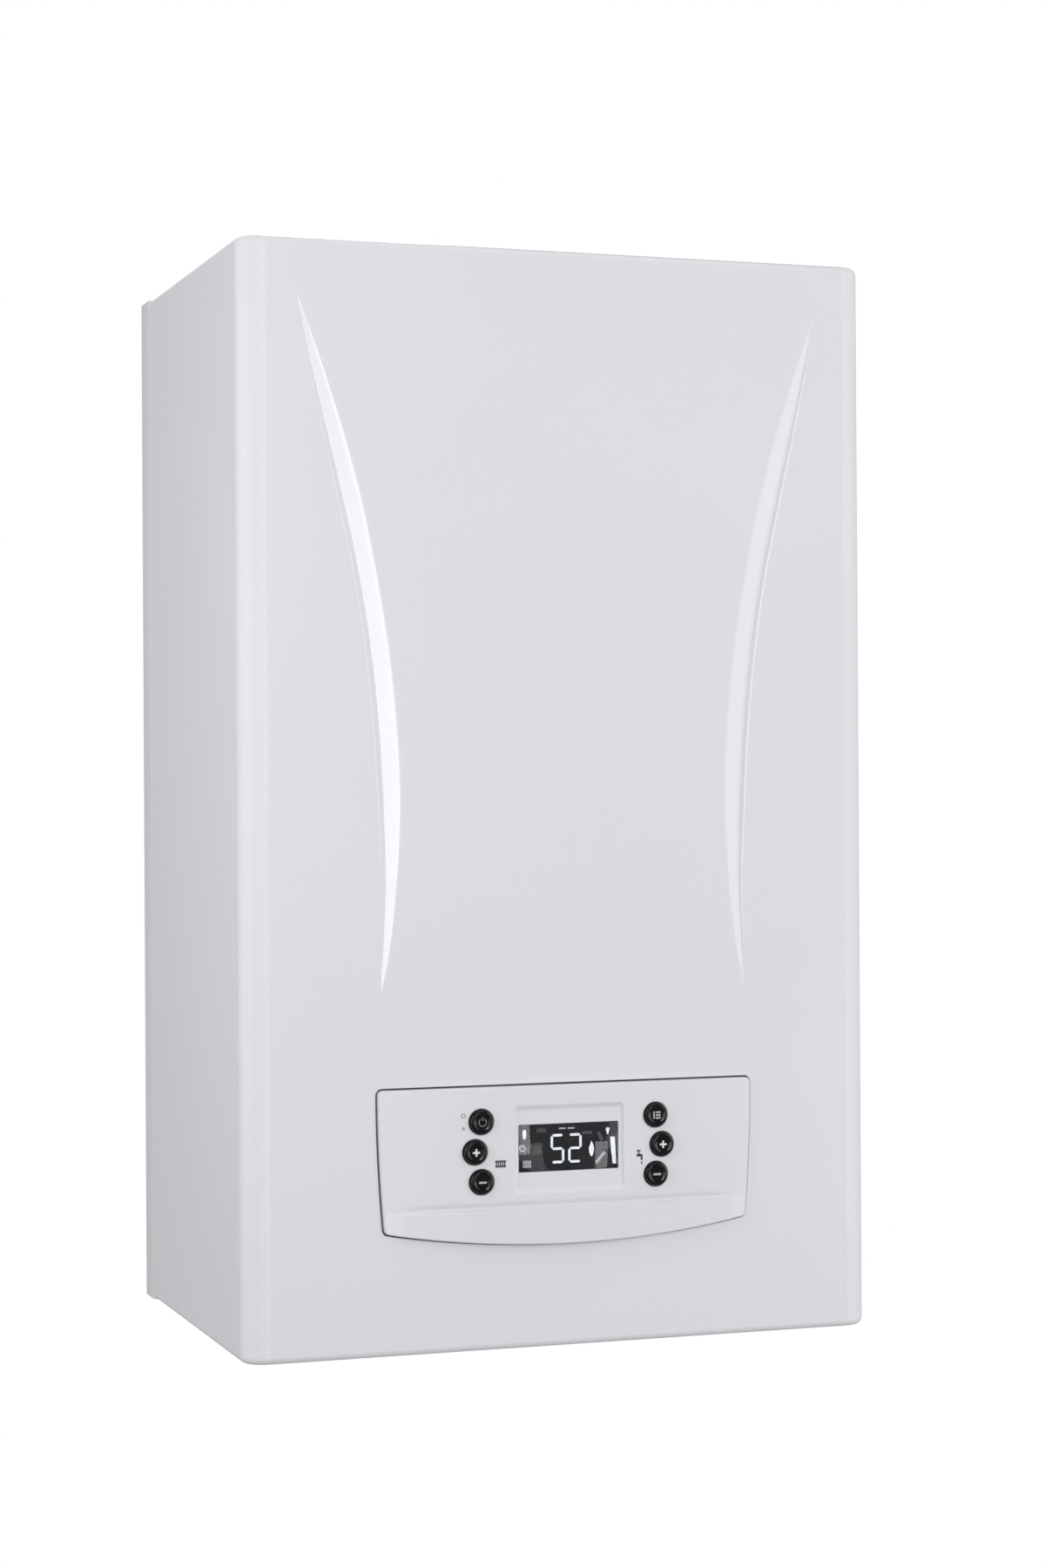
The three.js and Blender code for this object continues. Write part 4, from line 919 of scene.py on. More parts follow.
def make_display():
    # case of the module, with a black glass face and a thin border line
    p = Part()
    p.add(block(-36, 36, -140.1, -136.3, 104, 142.7, 0.5), 0)
    p.add(block(-34.2, 34.2, -140.6, -140.0, 106.5, 140.2, 0.25), 1)
    p.add(block(-20, 20, -139.9, -137.0, 104.2, 106.4, 0.3), 2)
    p.piece("display_module_case", [M["display_black"], M["display_black"], M["connector_white"]], ROOT, "display_module", "display_black")
    y = -140.62
    bright, dim = Part(), Part()
    digit(bright, "5", -10.9, 113.3, 8.8, 17.8, 1.5, y)
    digit(bright, "2", 0.5, 113.3, 8.8, 17.8, 1.5, y)
    bright.add(poly_plate([(27.9, 128.0), (31.0, 128.0), (31.9, 111.6), (29.6, 111.6)], y))
    # flame mark, slanted mark and small marks beside the digits
    flame = [(15.4, 116.6), (14.2, 119.4), (14.0, 121.8), (14.9, 123.8), (15.6, 126.2), (16.7, 124.0), (17.4, 121.6), (17.0, 119.0), (16.2, 117.0)]
    bright.add(poly_plate(flame, y))
    dim.add(poly_plate(bar2(18.6, 112.6, 24.4, 118.8, 1.9), y))
    bright.add(poly_plate(circle(26.4, 132.6, 1.25, 14), y))
    bright.add(poly_plate(bar2(26.4, 131.8, 26.4, 129.8, 1.2), y))
    # left column: tap, clock and radiator marks
    bright.add(poly_plate([(-28.9, 130.2), (-29.0, 133.0), (-28.3, 134.4), (-27.2, 134.4), (-26.6, 133.0), (-26.8, 130.2), (-27.4, 128.6), (-28.2, 128.6)], y))
    ring2(dim, -29.2, 123.2, 1.7, 0.8, y)
    dim.add(poly_plate(bar2(-29.2, 123.2, -29.2, 124.5, 0.5), y))
    for k in range(4):
        dim.add(poly_plate(bar2(-28.3 + k * 1.35, 111.4, -28.3 + k * 1.35, 115.8, 0.95), y))
    dim.add(poly_plate(bar2(-29.1, 114.9, -23.5, 114.9, 0.7), y))
    dim.add(poly_plate(bar2(-29.1, 112.2, -23.5, 112.2, 0.7), y))
    # fine marks above the digits
    dim.add(poly_plate(bar2(-5.4, 134.4, -1.0, 134.4, 0.9), y))
    dim.add(poly_plate(bar2(0.2, 134.4, 4.6, 134.4, 0.9), y))
    faint = Part()
    faint.add(poly_plate(bar2(-19.8, 133.6, -13.6, 133.6, 2.4), y))
    faint.add(poly_plate(bar2(9.8, 131.2, 16.0, 131.2, 1.8), y))
    faint.add(poly_plate(bar2(20.2, 131.4, 22.6, 126.0, 2.2), y))
    bright.piece("display_marks_bright", [M["display_light"]], ROOT, slot="display_black")
    dim.piece("display_marks_dim", [M["display_dim"]], ROOT, slot="display_black")
    faint.piece("display_marks_faint", [M["display_faint"]], ROOT, slot="display_black")
    w = Part()
    w.add(block(-32.5, 32.5, -143.4, -142.2, 109.0, 137.7, 0.25))
    w.piece("display_window_pane", [M["window_clear"]], ROOT, "display_window", "window_clear")


M["display_faint"] = material("display_segments_faint", (0.055, 0.056, 0.062), 0.5, tint=0.1, tint_scale=220, grain=900, bump=0.03, emission=0.4)
make_display()


# ------------------------------------------------------------------ buttons
def dome(r):
    """Front face of a button at a radius: a shallow dish inside a rolled rim."""
    if r < 3.9:
        return -147.05 - 0.0 * r
    if r < 5.6:
        return -147.05 - 0.42 * smooth((r - 3.9) / 1.7)
    t = (r - 5.6) / 1.9
    return -147.47 + 1.95 * (1 - math.sqrt(max(0.0, 1 - t * t)))


def make_button(name, x, z, kind):
    body = name + "_body"
    prof = [(0, dome(0))] + [(r, dome(r)) for r in (1.5, 3.0, 3.9, 4.3, 4.75, 5.2, 5.6, 6.0, 6.4, 6.75, 7.05, 7.28, 7.42, 7.5)]
    prof += [(7.5, -140.6), (9.0, -140.6), (9.2, -140.4), (9.2, -139.6), (9.0, -139.4), (3, -139.4), (3, -137.5), (0, -137.5)]
    p = Part().add(lathe(prof, (x, 0, z), "y", 48))
    p.piece(name + "_cap", [M["button_black"]], body, name, "button_black", 40)
    mark = Part()
    y = dome(0)
    if kind == "ring":
        ring2(mark, x, z, 2.35, 0.8, y, 125, 415, 26)
        mark.add(poly_plate(bar2(x, z + 0.9, x, z + 3.3, 0.8), y))
        m = "symbol_dim"
    elif kind == "menu":
        mark.add(poly_plate(bar2(x - 1.9, z - 2.2, x - 1.9, z + 2.3, 1.0), y))
        for k in (-1.75, 0.0, 1.75):
            mark.add(poly_plate(bar2(x - 0.7, z + k, x + 2.5, z + k, 1.05), y))
        m = "symbol_grey"
    elif kind == "plus":
        mark.add(poly_plate([(x - 0.6, z - 2.3), (x + 0.6, z - 2.3), (x + 0.6, z - 0.6), (x + 2.3, z - 0.6), (x + 2.3, z + 0.6), (x + 0.6, z + 0.6), (x + 0.6, z + 2.3), (x - 0.6, z + 2.3),
                             (x - 0.6, z + 0.6), (x - 2.3, z + 0.6), (x - 2.3, z - 0.6), (x - 0.6, z - 0.6)], y))
        m = "symbol_light"
    else:
        mark.add(poly_plate(bar2(x - 2.5, z, x + 2.5, z, 1.3), y))
        m = "symbol_grey"
    mark.piece(name + "_mark", [M[m]], body, slot="button_black")


M["symbol_dim"] = material("symbol_print_dim", (0.12, 0.12, 0.13), 0.5, tint=0.05, tint_scale=300, grain=1500, bump=0.05)
KINDS = {"button_left_top": "ring", "button_left_middle": "plus", "button_left_bottom": "minus", "button_right_top": "menu", "button_right_middle": "plus", "button_right_bottom": "minus"}
for name, (x, z) in BUTTONS.items():
    make_button(name, x, z, KINDS[name])


def make_icons():
    on = lambda x, z: fascia_y(x, z) + 0.02
    dark, grey = Part(), Part()
    # radiator, beside the left buttons
    for k in range(5):
        dark.add(poly_plate(bar2(-47.6 + k * 1.3, 112.6, -47.6 + k * 1.3, 117.2, 0.85), 0, 0.05, on))
    dark.add(poly_plate(bar2(-48.6, 116.3, -41.4, 116.3, 0.8), 0, 0.05, on))
    dark.add(poly_plate(bar2(-48.6, 113.5, -41.4, 113.5, 0.8), 0, 0.05, on))
    # tap, beside the right buttons
    dark.add(poly_plate([(44.2, 117.2), (47.4, 117.2), (48.2, 116.2), (48.2, 113.2), (46.9, 113.2), (46.9, 115.4), (44.2, 115.4)], 0, 0.05, on))
    dark.add(poly_plate(bar2(45.6, 117.3, 45.6, 118.9, 0.9), 0, 0.05, on))
    dark.add(poly_plate(bar2(44.2, 119.2, 47.0, 119.2, 0.8), 0, 0.05, on))
    dark.add(poly_plate([(47.55, 112.6), (48.1, 111.5), (47.9, 110.8), (47.2, 110.8), (47.0, 111.5)], 0, 0.05, on))
    # two small lamps' marks beside the top left button
    ring2(grey, -68.6, 145.0, 1.2, 0.7, 0, 0, 360, 16, on, 0.05)
    grey.add(poly_plate([(-69.8, 136.6), (-67.4, 136.6), (-68.6, 139.0)], 0, 0.05, on))
    dark.piece("fascia_icons_dark", [M["print_dark"]], ROOT, slot="fascia_white")
    grey.piece("fascia_icons_grey", [M["print_grey"]], ROOT, slot="fascia_white")


make_icons()


# ------------------------------------------------------------------ helpers for sheet metal, castings and fittings
def plate(outer, holes, h0, h1, axis="z", r=0.0, seg=2):
    """A flat plate with holes, its outline in the plane across the axis."""
    pts, tri, loops = triangulate(outer, holes)
    n = len(pts)
    v = [ax(axis, a, b, h0) for a, b in pts] + [ax(axis, a, b, h1) for a, b in pts]
    f = [list(t) for t in tri] + [[n + i for i in reversed(t)] for t in tri]
    for loop in loops:
        f += [[a, n + a, n + b, b] for a, b in zip(loop, loop[1:] + loop[:1])]
    v, f = consistent(np.array(v, float), f)
    return rounded(v, f, r, seg) if r else (v, f)


def tray(outer, inner, holes, top, under, rim, axis="z", r=0.0, seg=2):
    """A folded tray: a skin between top and under, and a skirt that ends at the rim."""
    p1, t1, l1 = triangulate(outer, holes)
    p2, t2, l2 = triangulate(inner, holes)
    v = [ax(axis, a, b, top) for a, b in p1]
    n1 = len(v)
    v += [ax(axis, a, b, under) for a, b in p2]
    n2 = len(v)
    v += [ax(axis, a, b, rim) for a, b in outer]
    n3 = len(v)
    v += [ax(axis, a, b, rim) for a, b in inner]
    f, m = [list(t) for t in t1] + [[n1 + i for i in t] for t in t2], len(outer)
    for i in range(m):
        j = (i + 1) % m
        f += [[l1[0][i], n2 + i, n2 + j, l1[0][j]], [n1 + l2[0][i], n3 + i, n3 + j, n1 + l2[0][j]], [n2 + i, n3 + i, n3 + j, n2 + j]]
    for a, b in zip(l1[1:], l2[1:]):
        f += [[a[i], n1 + b[i], n1 + b[(i + 1) % len(a)], a[(i + 1) % len(a)]] for i in range(len(a))]
    v, f = consistent(np.array(v, float), f)
    k = {"x": 0, "y": 1, "z": 2}[axis]
    return rounded(v, f, r, seg, keep=lambda e: all(abs(q.co[k] - top) < 1e-6 for q in e.verts)) if r else (v, f)


def spun(solid, deg, a, b, axis="z"):
    """A solid turned about an axis through (a, b)."""
    v, f = solid
    c, s = math.cos(math.radians(deg)), math.sin(math.radians(deg))
    i, j = {"z": (0, 1), "y": (0, 2), "x": (1, 2)}[axis]
    w = np.array(v, float)
    p, q = w[:, i] - a, w[:, j] - b
    w[:, i], w[:, j] = a + p * c - q * s, b + p * s + q * c
    return w, f


def nut(a, b, af, h0, h1, axis="z", r=0.7, turn=0.0):
    rad = af / math.sqrt(3)
    return prism([(a + rad * math.cos(math.radians(60 * i + turn)), b + rad * math.sin(math.radians(60 * i + turn))) for i in range(6)], h0, h1, axis, r)


def ring(r0, r1, h0, h1, at, axis="z", n=40, r=0.3):
    return lathe([(r0, h0), (r1, h0), (r1, h1), (r0, h1), (r0, h0)], at, axis, n, r)


def disc(rad, h0, h1, at, axis="z", n=40, r=0.4):
    return lathe([(0, h0), (rad, h0), (rad, h1), (0, h1)], at, axis, n, r)


def cross(a, b, size, w):
    k = [(w, size), (w, w), (size, w), (size, -w), (w, -w), (w, -size), (-w, -size), (-w, -w), (-size, -w), (-size, w), (-w, w), (-w, size)]
    return [(a + p, b + q) for p, q in k]


def screw(part, a, b, h, axis="y", d=-1, rad=3.2, m=0, tall=1.0):
    """A pan head with a cross recess, standing on the face at h and looking along d."""
    at = ax(axis, a, b, 0)
    part.add(lathe([(0, h - 0.3 * d), (rad, h - 0.3 * d), (rad, h + 0.7 * tall * d), (rad * 0.93, h + 1.15 * tall * d), (rad * 0.72, h + 1.5 * tall * d), (0, h + 1.5 * tall * d)], at, axis, 24), m)
    part.add(plate(circle(a, b, rad * 0.74, 24), [cross(a, b, rad * 0.5, rad * 0.11)], *sorted((h + 1.4 * tall * d, h + 2.0 * tall * d)), axis), m)


# ------------------------------------------------------------------ rear frame, plates, bracket
def plan(d, yb=141.2):
    x, y, r = 199.0 - d, -134.5 + d, 9 - min(d, 8)
    neck, wide = 197.2 - d, 203.2 - d
    side = [(wide, yb), (wide, 122.8 + d), (neck, 122.8 + d), (neck, 103.7 - d), (x, 103.7 - d)]
    return side + arc(x - r, y + r, r, 0, -90, 8) + arc(-x + r, y + r, r, -90, -180, 8) + [(-a, b) for a, b in reversed(side)]


def make_frame():
    p = Part()
    side = [(170, 143), (177.5, 143), (180, 147.5), (205, 147.5), (205, 121), (197.5, 121), (197.5, 122.5), (203.5, 122.5), (203.5, 146), (181, 146), (178.5, 141.5), (170, 141.5)]
    radii = [0, 2.0, 1.6, 2.2, 2.2, 0.6, 0.6, 0.9, 0.9, 2.6, 0.9, 0]
    out = filleted(side, radii, 5)
    for s in (1, -1):
        p.add(prism([(s * a, b) for a, b in out], 0, 678), 0)
        p.add(block(*sorted((s * 197.5, s * 199)), 104, 122.2, 2, 676, 0.4, 2), 0)
        # pressed feet of the wall strips, and the rivets that hold the plates
        for z in (44, 666):
            p.add(lathe([(0, 0), (3.1, 0), (2.8, -0.7), (1.8, -1.2), (0, -1.3)], (s * 190, 147.2, z), "y", 20), 1)
    slots = [rrect(*sorted((s * 90, s * 130)), 603, 621.8, 3, 4) for s in (-1, 1)]
    p.add(plate([(-172, 0), (172, 0), (172, 678), (-172, 678)], slots, 141.5, 143, "y"), 0)
    for z in (110, 230, 350, 470):
        p.add(prism(rrect(-138, 138, z - 8, z + 8, 7.9, 6), 142.4, 145.2, "y", 1.7, 3), 0)
    return p.piece("rear_frame_folded", [M["frame_white"], M["zinc_screw"]], ROOT, "rear_frame", "frame_white", 30)


def make_bracket():
    p = Part()
    p.add(plate(rrect(-150, 150, 585, 635, 4, 5), [circle(s * 60, 600, 4.5, 28) for s in (-1, 1)], 145, 147.5, "y", 0.5), 0)
    hook = filleted([(146, 619), (133.5, 619), (133.5, 634), (136, 634), (136, 621.5), (146, 621.5)], [0, 3.4, 0.9, 0.9, 0.9, 0], 5)
    for s in (-1, 1):
        p.add(prism(hook, s * 110 - 15, s * 110 + 15, "x", 0.3), 0)
    p.add(prism(rrect(-85, 85, 606, 614, 3.9, 6), 143.9, 145.3, "y", 0.9, 2), 0)
    return p.piece("wall_bracket_pressed", [M["galvanised"]], ROOT, "wall_bracket", "galvanised", 30)


def make_plates():
    top = Part()
    top.add(tray(plan(0), plan(1.5, 139.7), [circle(0, 10, 53.4, 64)], 672, 670.5, 660, "z", 1.1, 3), 0)
    top.add(prism(rrect(-170, -84, -60, 80, 10, 6), 671.6, 673.4, "z", 1.2, 3), 0)
    top.add(prism(rrect(84, 170, -60, 80, 10, 6), 671.6, 673.4, "z", 1.2, 3), 0)
    for s in (-1, 1):
        for y in (-112, 95):
            screw(top, s * 182, y, 672, "z", 1, 3.4, 1)
    top.piece("top_plate_folded", [M["galvanised"], M["zinc_screw"]], ROOT, "top_plate", "galvanised", 30)

    low = Part()
    stubs = [(-130, 13.8), (-65, 11.0), (0, 13.8), (65, 11.0), (130, 13.8)]
    holes = [circle(x, 55, r, 36) for x, r in stubs] + [circle(-150, -35, 9.8, 28), circle(108, 28, 9.8, 28), circle(178, 60, 8.6, 28)]
    low.add(tray(plan(0), plan(1.5, 139.7), holes, 38, 39.5, 50, "z", 1.1, 3), 0)
    low.add(prism(rrect(-90, 90, -118, -64, 9, 6), 36.6, 38.4, "z", 1.2, 3), 0)
    for s in (-1, 1):
        c = s * 150
        leg = filleted([(-101, 38.6), (-103, 38.6), (-103, 8.5), (-112.2, 8.5), (-112.2, 6.5), (-101, 6.5)], [0, 0, 0.8, 0, 0, 2.6], 5)
        low.add(prism(leg, c - 10, c + 10, "x"), 0)
        for a, b in ((c - 10, c - 2.6), (c + 2.6, c + 10)):
            low.add(block(a, b, -125, -112, 6.5, 8.5, 0.4, 2), 0)
        for y in (-70, 100):
            screw(low, s * 182, y, 38, "z", -1, 3.4, 1)
    # collars that stiffen the edge of each pipe hole
    for x, r in stubs:
        low.add(ring(r + 4.2, r + 6.0, 37.2, 38.3, (x, 55, 0), "z", 40, 0.5), 0)
    low.piece("bottom_plate_folded", [M["galvanised"], M["zinc_screw"]], ROOT, "bottom_plate", "galvanised", 30)


def make_flue():
    p = Part()
    at = (0, 10, 0)
    p.add(lathe([(50.5, 655), (52.5, 655), (52.5, 674.3), (67, 674.3), (67, 676.3), (54.2, 676.3), (52.9, 677.6), (52.5, 680), (52.5, 684.6), (54.3, 685.4), (54.3, 689.2), (53.6, 690), (51.3, 690), (50.5, 689), (50.5, 655)], at, "z", 72), 0)
    p.add(lathe([(30.1, 640), (31.7, 640), (31.7, 687.4), (31.1, 688), (30.6, 688), (30.1, 687.4), (30.1, 640)], at, "z", 56), 1)
    for deg in (90, 210, 330):
        p.add(spun(block(30.9, 51.5, 8.5, 11.5, 656, 664, 0.5), deg, 0, 10), 1)
    for z in (682.2, 684.6):
        p.add(lathe([(49.1, z), (50.7, z - 0.7), (50.7, z + 0.9), (49.9, z + 0.8), (49.1, z)], at, "z", 64), 2)
    p.add(lathe([(28.8, 682), (30.3, 681.2), (30.3, 683.4), (29.5, 683.2), (28.8, 682)], at, "z", 48), 2)
    for deg in (45, 135, 225, 315):
        screw(p, 60.3 * math.cos(math.radians(deg)), 10 + 60.3 * math.sin(math.radians(deg)), 676.3, "z", 1, 3.3, 3)
    for deg in (250, 290):
        c = (59.6 * math.cos(math.radians(deg)), 10 + 59.6 * math.sin(math.radians(deg)), 0)
        p.add(lathe([(0, 676), (5.4, 676), (5.4, 682.2), (4.9, 682.9), (0, 682.9)], c, "z", 28), 2)
        for i in range(12):
            a = math.radians(30 * i)
            p.add(block(c[0] + 5.3 * math.cos(a) - 0.5, c[0] + 5.3 * math.cos(a) + 0.5, c[1] + 5.3 * math.sin(a) - 0.5, c[1] + 5.3 * math.sin(a) + 0.5, 677, 681.8, 0.2, 1), 2)
    p.piece("flue_socket_concentric", [M["flue_metal"], M["flue_plastic"], M["rubber_black"], M["zinc_screw"]], ROOT, "flue_socket", "flue_metal", 30)
    g = Part()
    g.add(ring(54, 66, 672.3, 674, at, "z", 64, 0.5))
    g.piece("flue_gasket_ring", [M["rubber_black"]], ROOT, "flue_gasket", "rubber_black", 35)
    d = Part()
    route = path([(30, 40, 565.3), (30, 40, 575), (24, 34, 590), (15, 25, 602.5), (6, 16, 615), (0, 10, 630), (0, 10, 639.7)], 0, 4)
    d.add(tube(route, 30, 44, 28.4), 0)
    d.add(lathe([(29.8, 565.4), (34.2, 565.4), (34.8, 566.4), (34.8, 571.4), (34.2, 572.4), (32.4, 573), (31, 578), (29.8, 578), (29.8, 565.4)], (30, 40, 0), "z", 52), 0)
    d.add(lathe([(29.8, 627), (31.2, 627), (32.6, 631), (34, 632), (34, 638), (33, 639.4), (29.8, 639.4), (29.8, 627)], (0, 10, 0), "z", 52), 0)
    d.piece("flue_duct_moulded", [M["flue_plastic"]], ROOT, "flue_duct", "flue_plastic", 35)


# ------------------------------------------------------------------ heat exchanger and burner
HX = (30, 0, 450)


def make_core():
    p = Part()
    p.add(lathe([(100, -20), (100, 115), (97.6, 121.4), (92, 124.3), (84, 125), (0, 125), (0, 122), (90, 122), (97, 113), (97, -20), (100, -20)], HX, "y", 80), 0)
    for y in (8, 44, 80):
        p.add(lathe([(98.5, y - 4), (99.9, y - 4), (101.5, y - 1.6), (101.5, y + 1.6), (99.9, y + 4), (98.5, y + 4), (98.5, y - 4)], HX, "y", 80), 0)
    p.add(lathe([(96.5, -20), (104.5, -20), (104.5, -18.2), (100.6, -17.4), (99.5, -15), (96.5, -15), (96.5, -20)], HX, "y", 80), 0)
    p.add(lathe([(0, -92), (9.6, -92), (11, -90.8), (11, -50), (0, -50)], (0, 60, 400), "x", 32), 1)
    p.add(lathe([(0, 140), (9.6, 140), (11, 138.8), (11, 110), (0, 110)], (0, 41, 400), "x", 32), 1)
    for x0, x1, y in ((-68, -62, 60), (119, 125, 41)):
        p.add(nut(y, 400, 25, x0, x1, "x"), 1)
    p.add(lathe([(28.5, 540), (31, 540), (31, 558), (32.4, 559), (32.4, 565), (28.5, 565), (28.5, 540)], (30, 40, 0), "z", 48), 0)
    p.add(lathe([(28.5, 545), (36, 546), (33.4, 549), (31, 553), (28.5, 553), (28.5, 545)], (30, 40, 0), "z", 48), 0)
    p.add(lathe([(0, 335), (8.4, 335), (9, 335.8), (9, 340), (7.8, 341), (7.8, 345), (9, 346), (9, 362), (0, 362)], (0, 100, 0), "z", 28), 0)
    # overheat sensors clipped to the shell
    for a, b in ((-38, 500), (98, 500)):
        s = 1 if a > 30 else -1
        p.add(block(*sorted((a, a + s * 9)), 52, 66, b - 5, b + 5, 1.2), 2)
    # strap lugs that carry the shell from the back sheet
    for x0, x1 in ((-48, -20), (80, 108)):
        p.add(block(x0, x1, 124, 141.2, 468, 471, 0.6), 3)
        p.add(block(x0, x1, 124, 141.2, 392, 395, 0.6), 3)
    p.piece("heat_exchanger_drum", [M["steel"], M["nickel"], M["chip_black"], M["galvanised"]], ROOT, "heat_exchanger_shell", "steel", 30)

    d = Part()
    d.add(lathe([(0, -30), (70, -30), (84, -28.6), (90, -29.4), (96.2, -29.2), (98, -27.8), (98, -22.3), (0, -22.3)], HX, "y", 80), 0)
    for i in range(12):
        a = 30 * i + 15
        d.add(spun(block(30 + 34, 30 + 88, -32.6, -28, 448.6, 451.4, 0.9), a, 30, 450, "y"), 0)
    d.add(lathe([(62, -29), (64, -32.4), (67, -32.4), (69, -29), (62, -29)], HX, "y", 80), 0)
    for i in range(6):
        a = math.radians(60 * i)
        x, z = 30 + 90.5 * math.cos(a), 450 + 90.5 * math.sin(a)
        d.add(lathe([(0, -23), (7.4, -23), (6.8, -32.6), (0, -32.6)], (x, 0, z), "y", 24), 0)
        d.add(disc(5.9, -33.4, -32.4, (x, 0, z), "y", 24, 0.2), 1)
        d.add(nut(x, z, 8, -37.8, -33.2, "y", 0.5, 60 * i), 1)
        d.add(disc(2.4, -40.6, -37, (x, 0, z), "y", 16, 0.4), 1)
    # inlet elbow, with the flange that meets the fan
    d.add(block(12.6, 91.6, -61.6, -28, 396.6, 469.4, 11, 5), 0)
    d.add(block(56.2, 91.8, -87.8, -30, 345.3, 419.6, 9, 5, keep=lambda e: max(q.co.z for q in e.verts) > 350), 0)
    d.add(block(50, 98, -92, -42, 345.4, 351, 2.2, 2), 0)
    for a, b in ((53.6, -88.4), (94.4, -88.4), (53.6, -45.6), (94.4, -45.6)):
        d.add(nut(a, b, 7, 351, 355.4, "z", 0.5), 1)
    for z in (372, 384):
        d.add(block(55.2, 92.8, -88.6, -60, z - 0.9, z + 0.9, 0.5), 0)
    for x in (34, 44, 54):
        d.add(block(x - 1, x + 1, -62.8, -50, 404, 462, 0.7), 0)
    # sight glass
    d.add(lathe([(4.6, -34.4), (8.6, -34.4), (9.6, -33), (9.6, -28), (4.6, -28), (4.6, -34.4)], (-20, 0, 470), "y", 32), 1)
    d.add(disc(4.8, -33.2, -30, (-20, 0, 470), "y", 28, 0.3), 2)
    d.piece("burner_door_casting", [M["cast_aluminium"], M["zinc_screw"], M["display_black"]], ROOT, "burner_door", "cast_aluminium", 30)

    e = Part()
    e.add(lathe([(0, -50), (2.0, -50), (2.4, -49.4), (2.4, -40.5), (0, -40.5)], (-3, 0, 418), "y", 20), 1)
    e.add(lathe([(0, -41), (3.4, -41), (4, -40.2), (4, -36), (3.3, -35.4), (3.3, -33.8), (4, -33.2), (4, -16), (1.2, -15), (0, -15)], (-3, 0, 418), "y", 28), 0)
    e.add(lathe([(0, -16), (1.2, -16), (1.2, 7.4), (0.7, 8), (0, 8)], (-3, 0, 418), "y", 14), 1)
    e.add(prism(rrect(-15, 9, 411, 425, 5, 5), -33, -30.2, "y", 0.5), 1)
    screw(e, -11.4, 418, -33, "y", -1, 2.6, 1)
    screw(e, 5.4, 418, -33, "y", -1, 2.6, 1)
    e.piece("ignition_electrode_set", [M["ceramic_white"], M["nickel"]], ROOT, "ignition_electrode", "ceramic_white", 30)


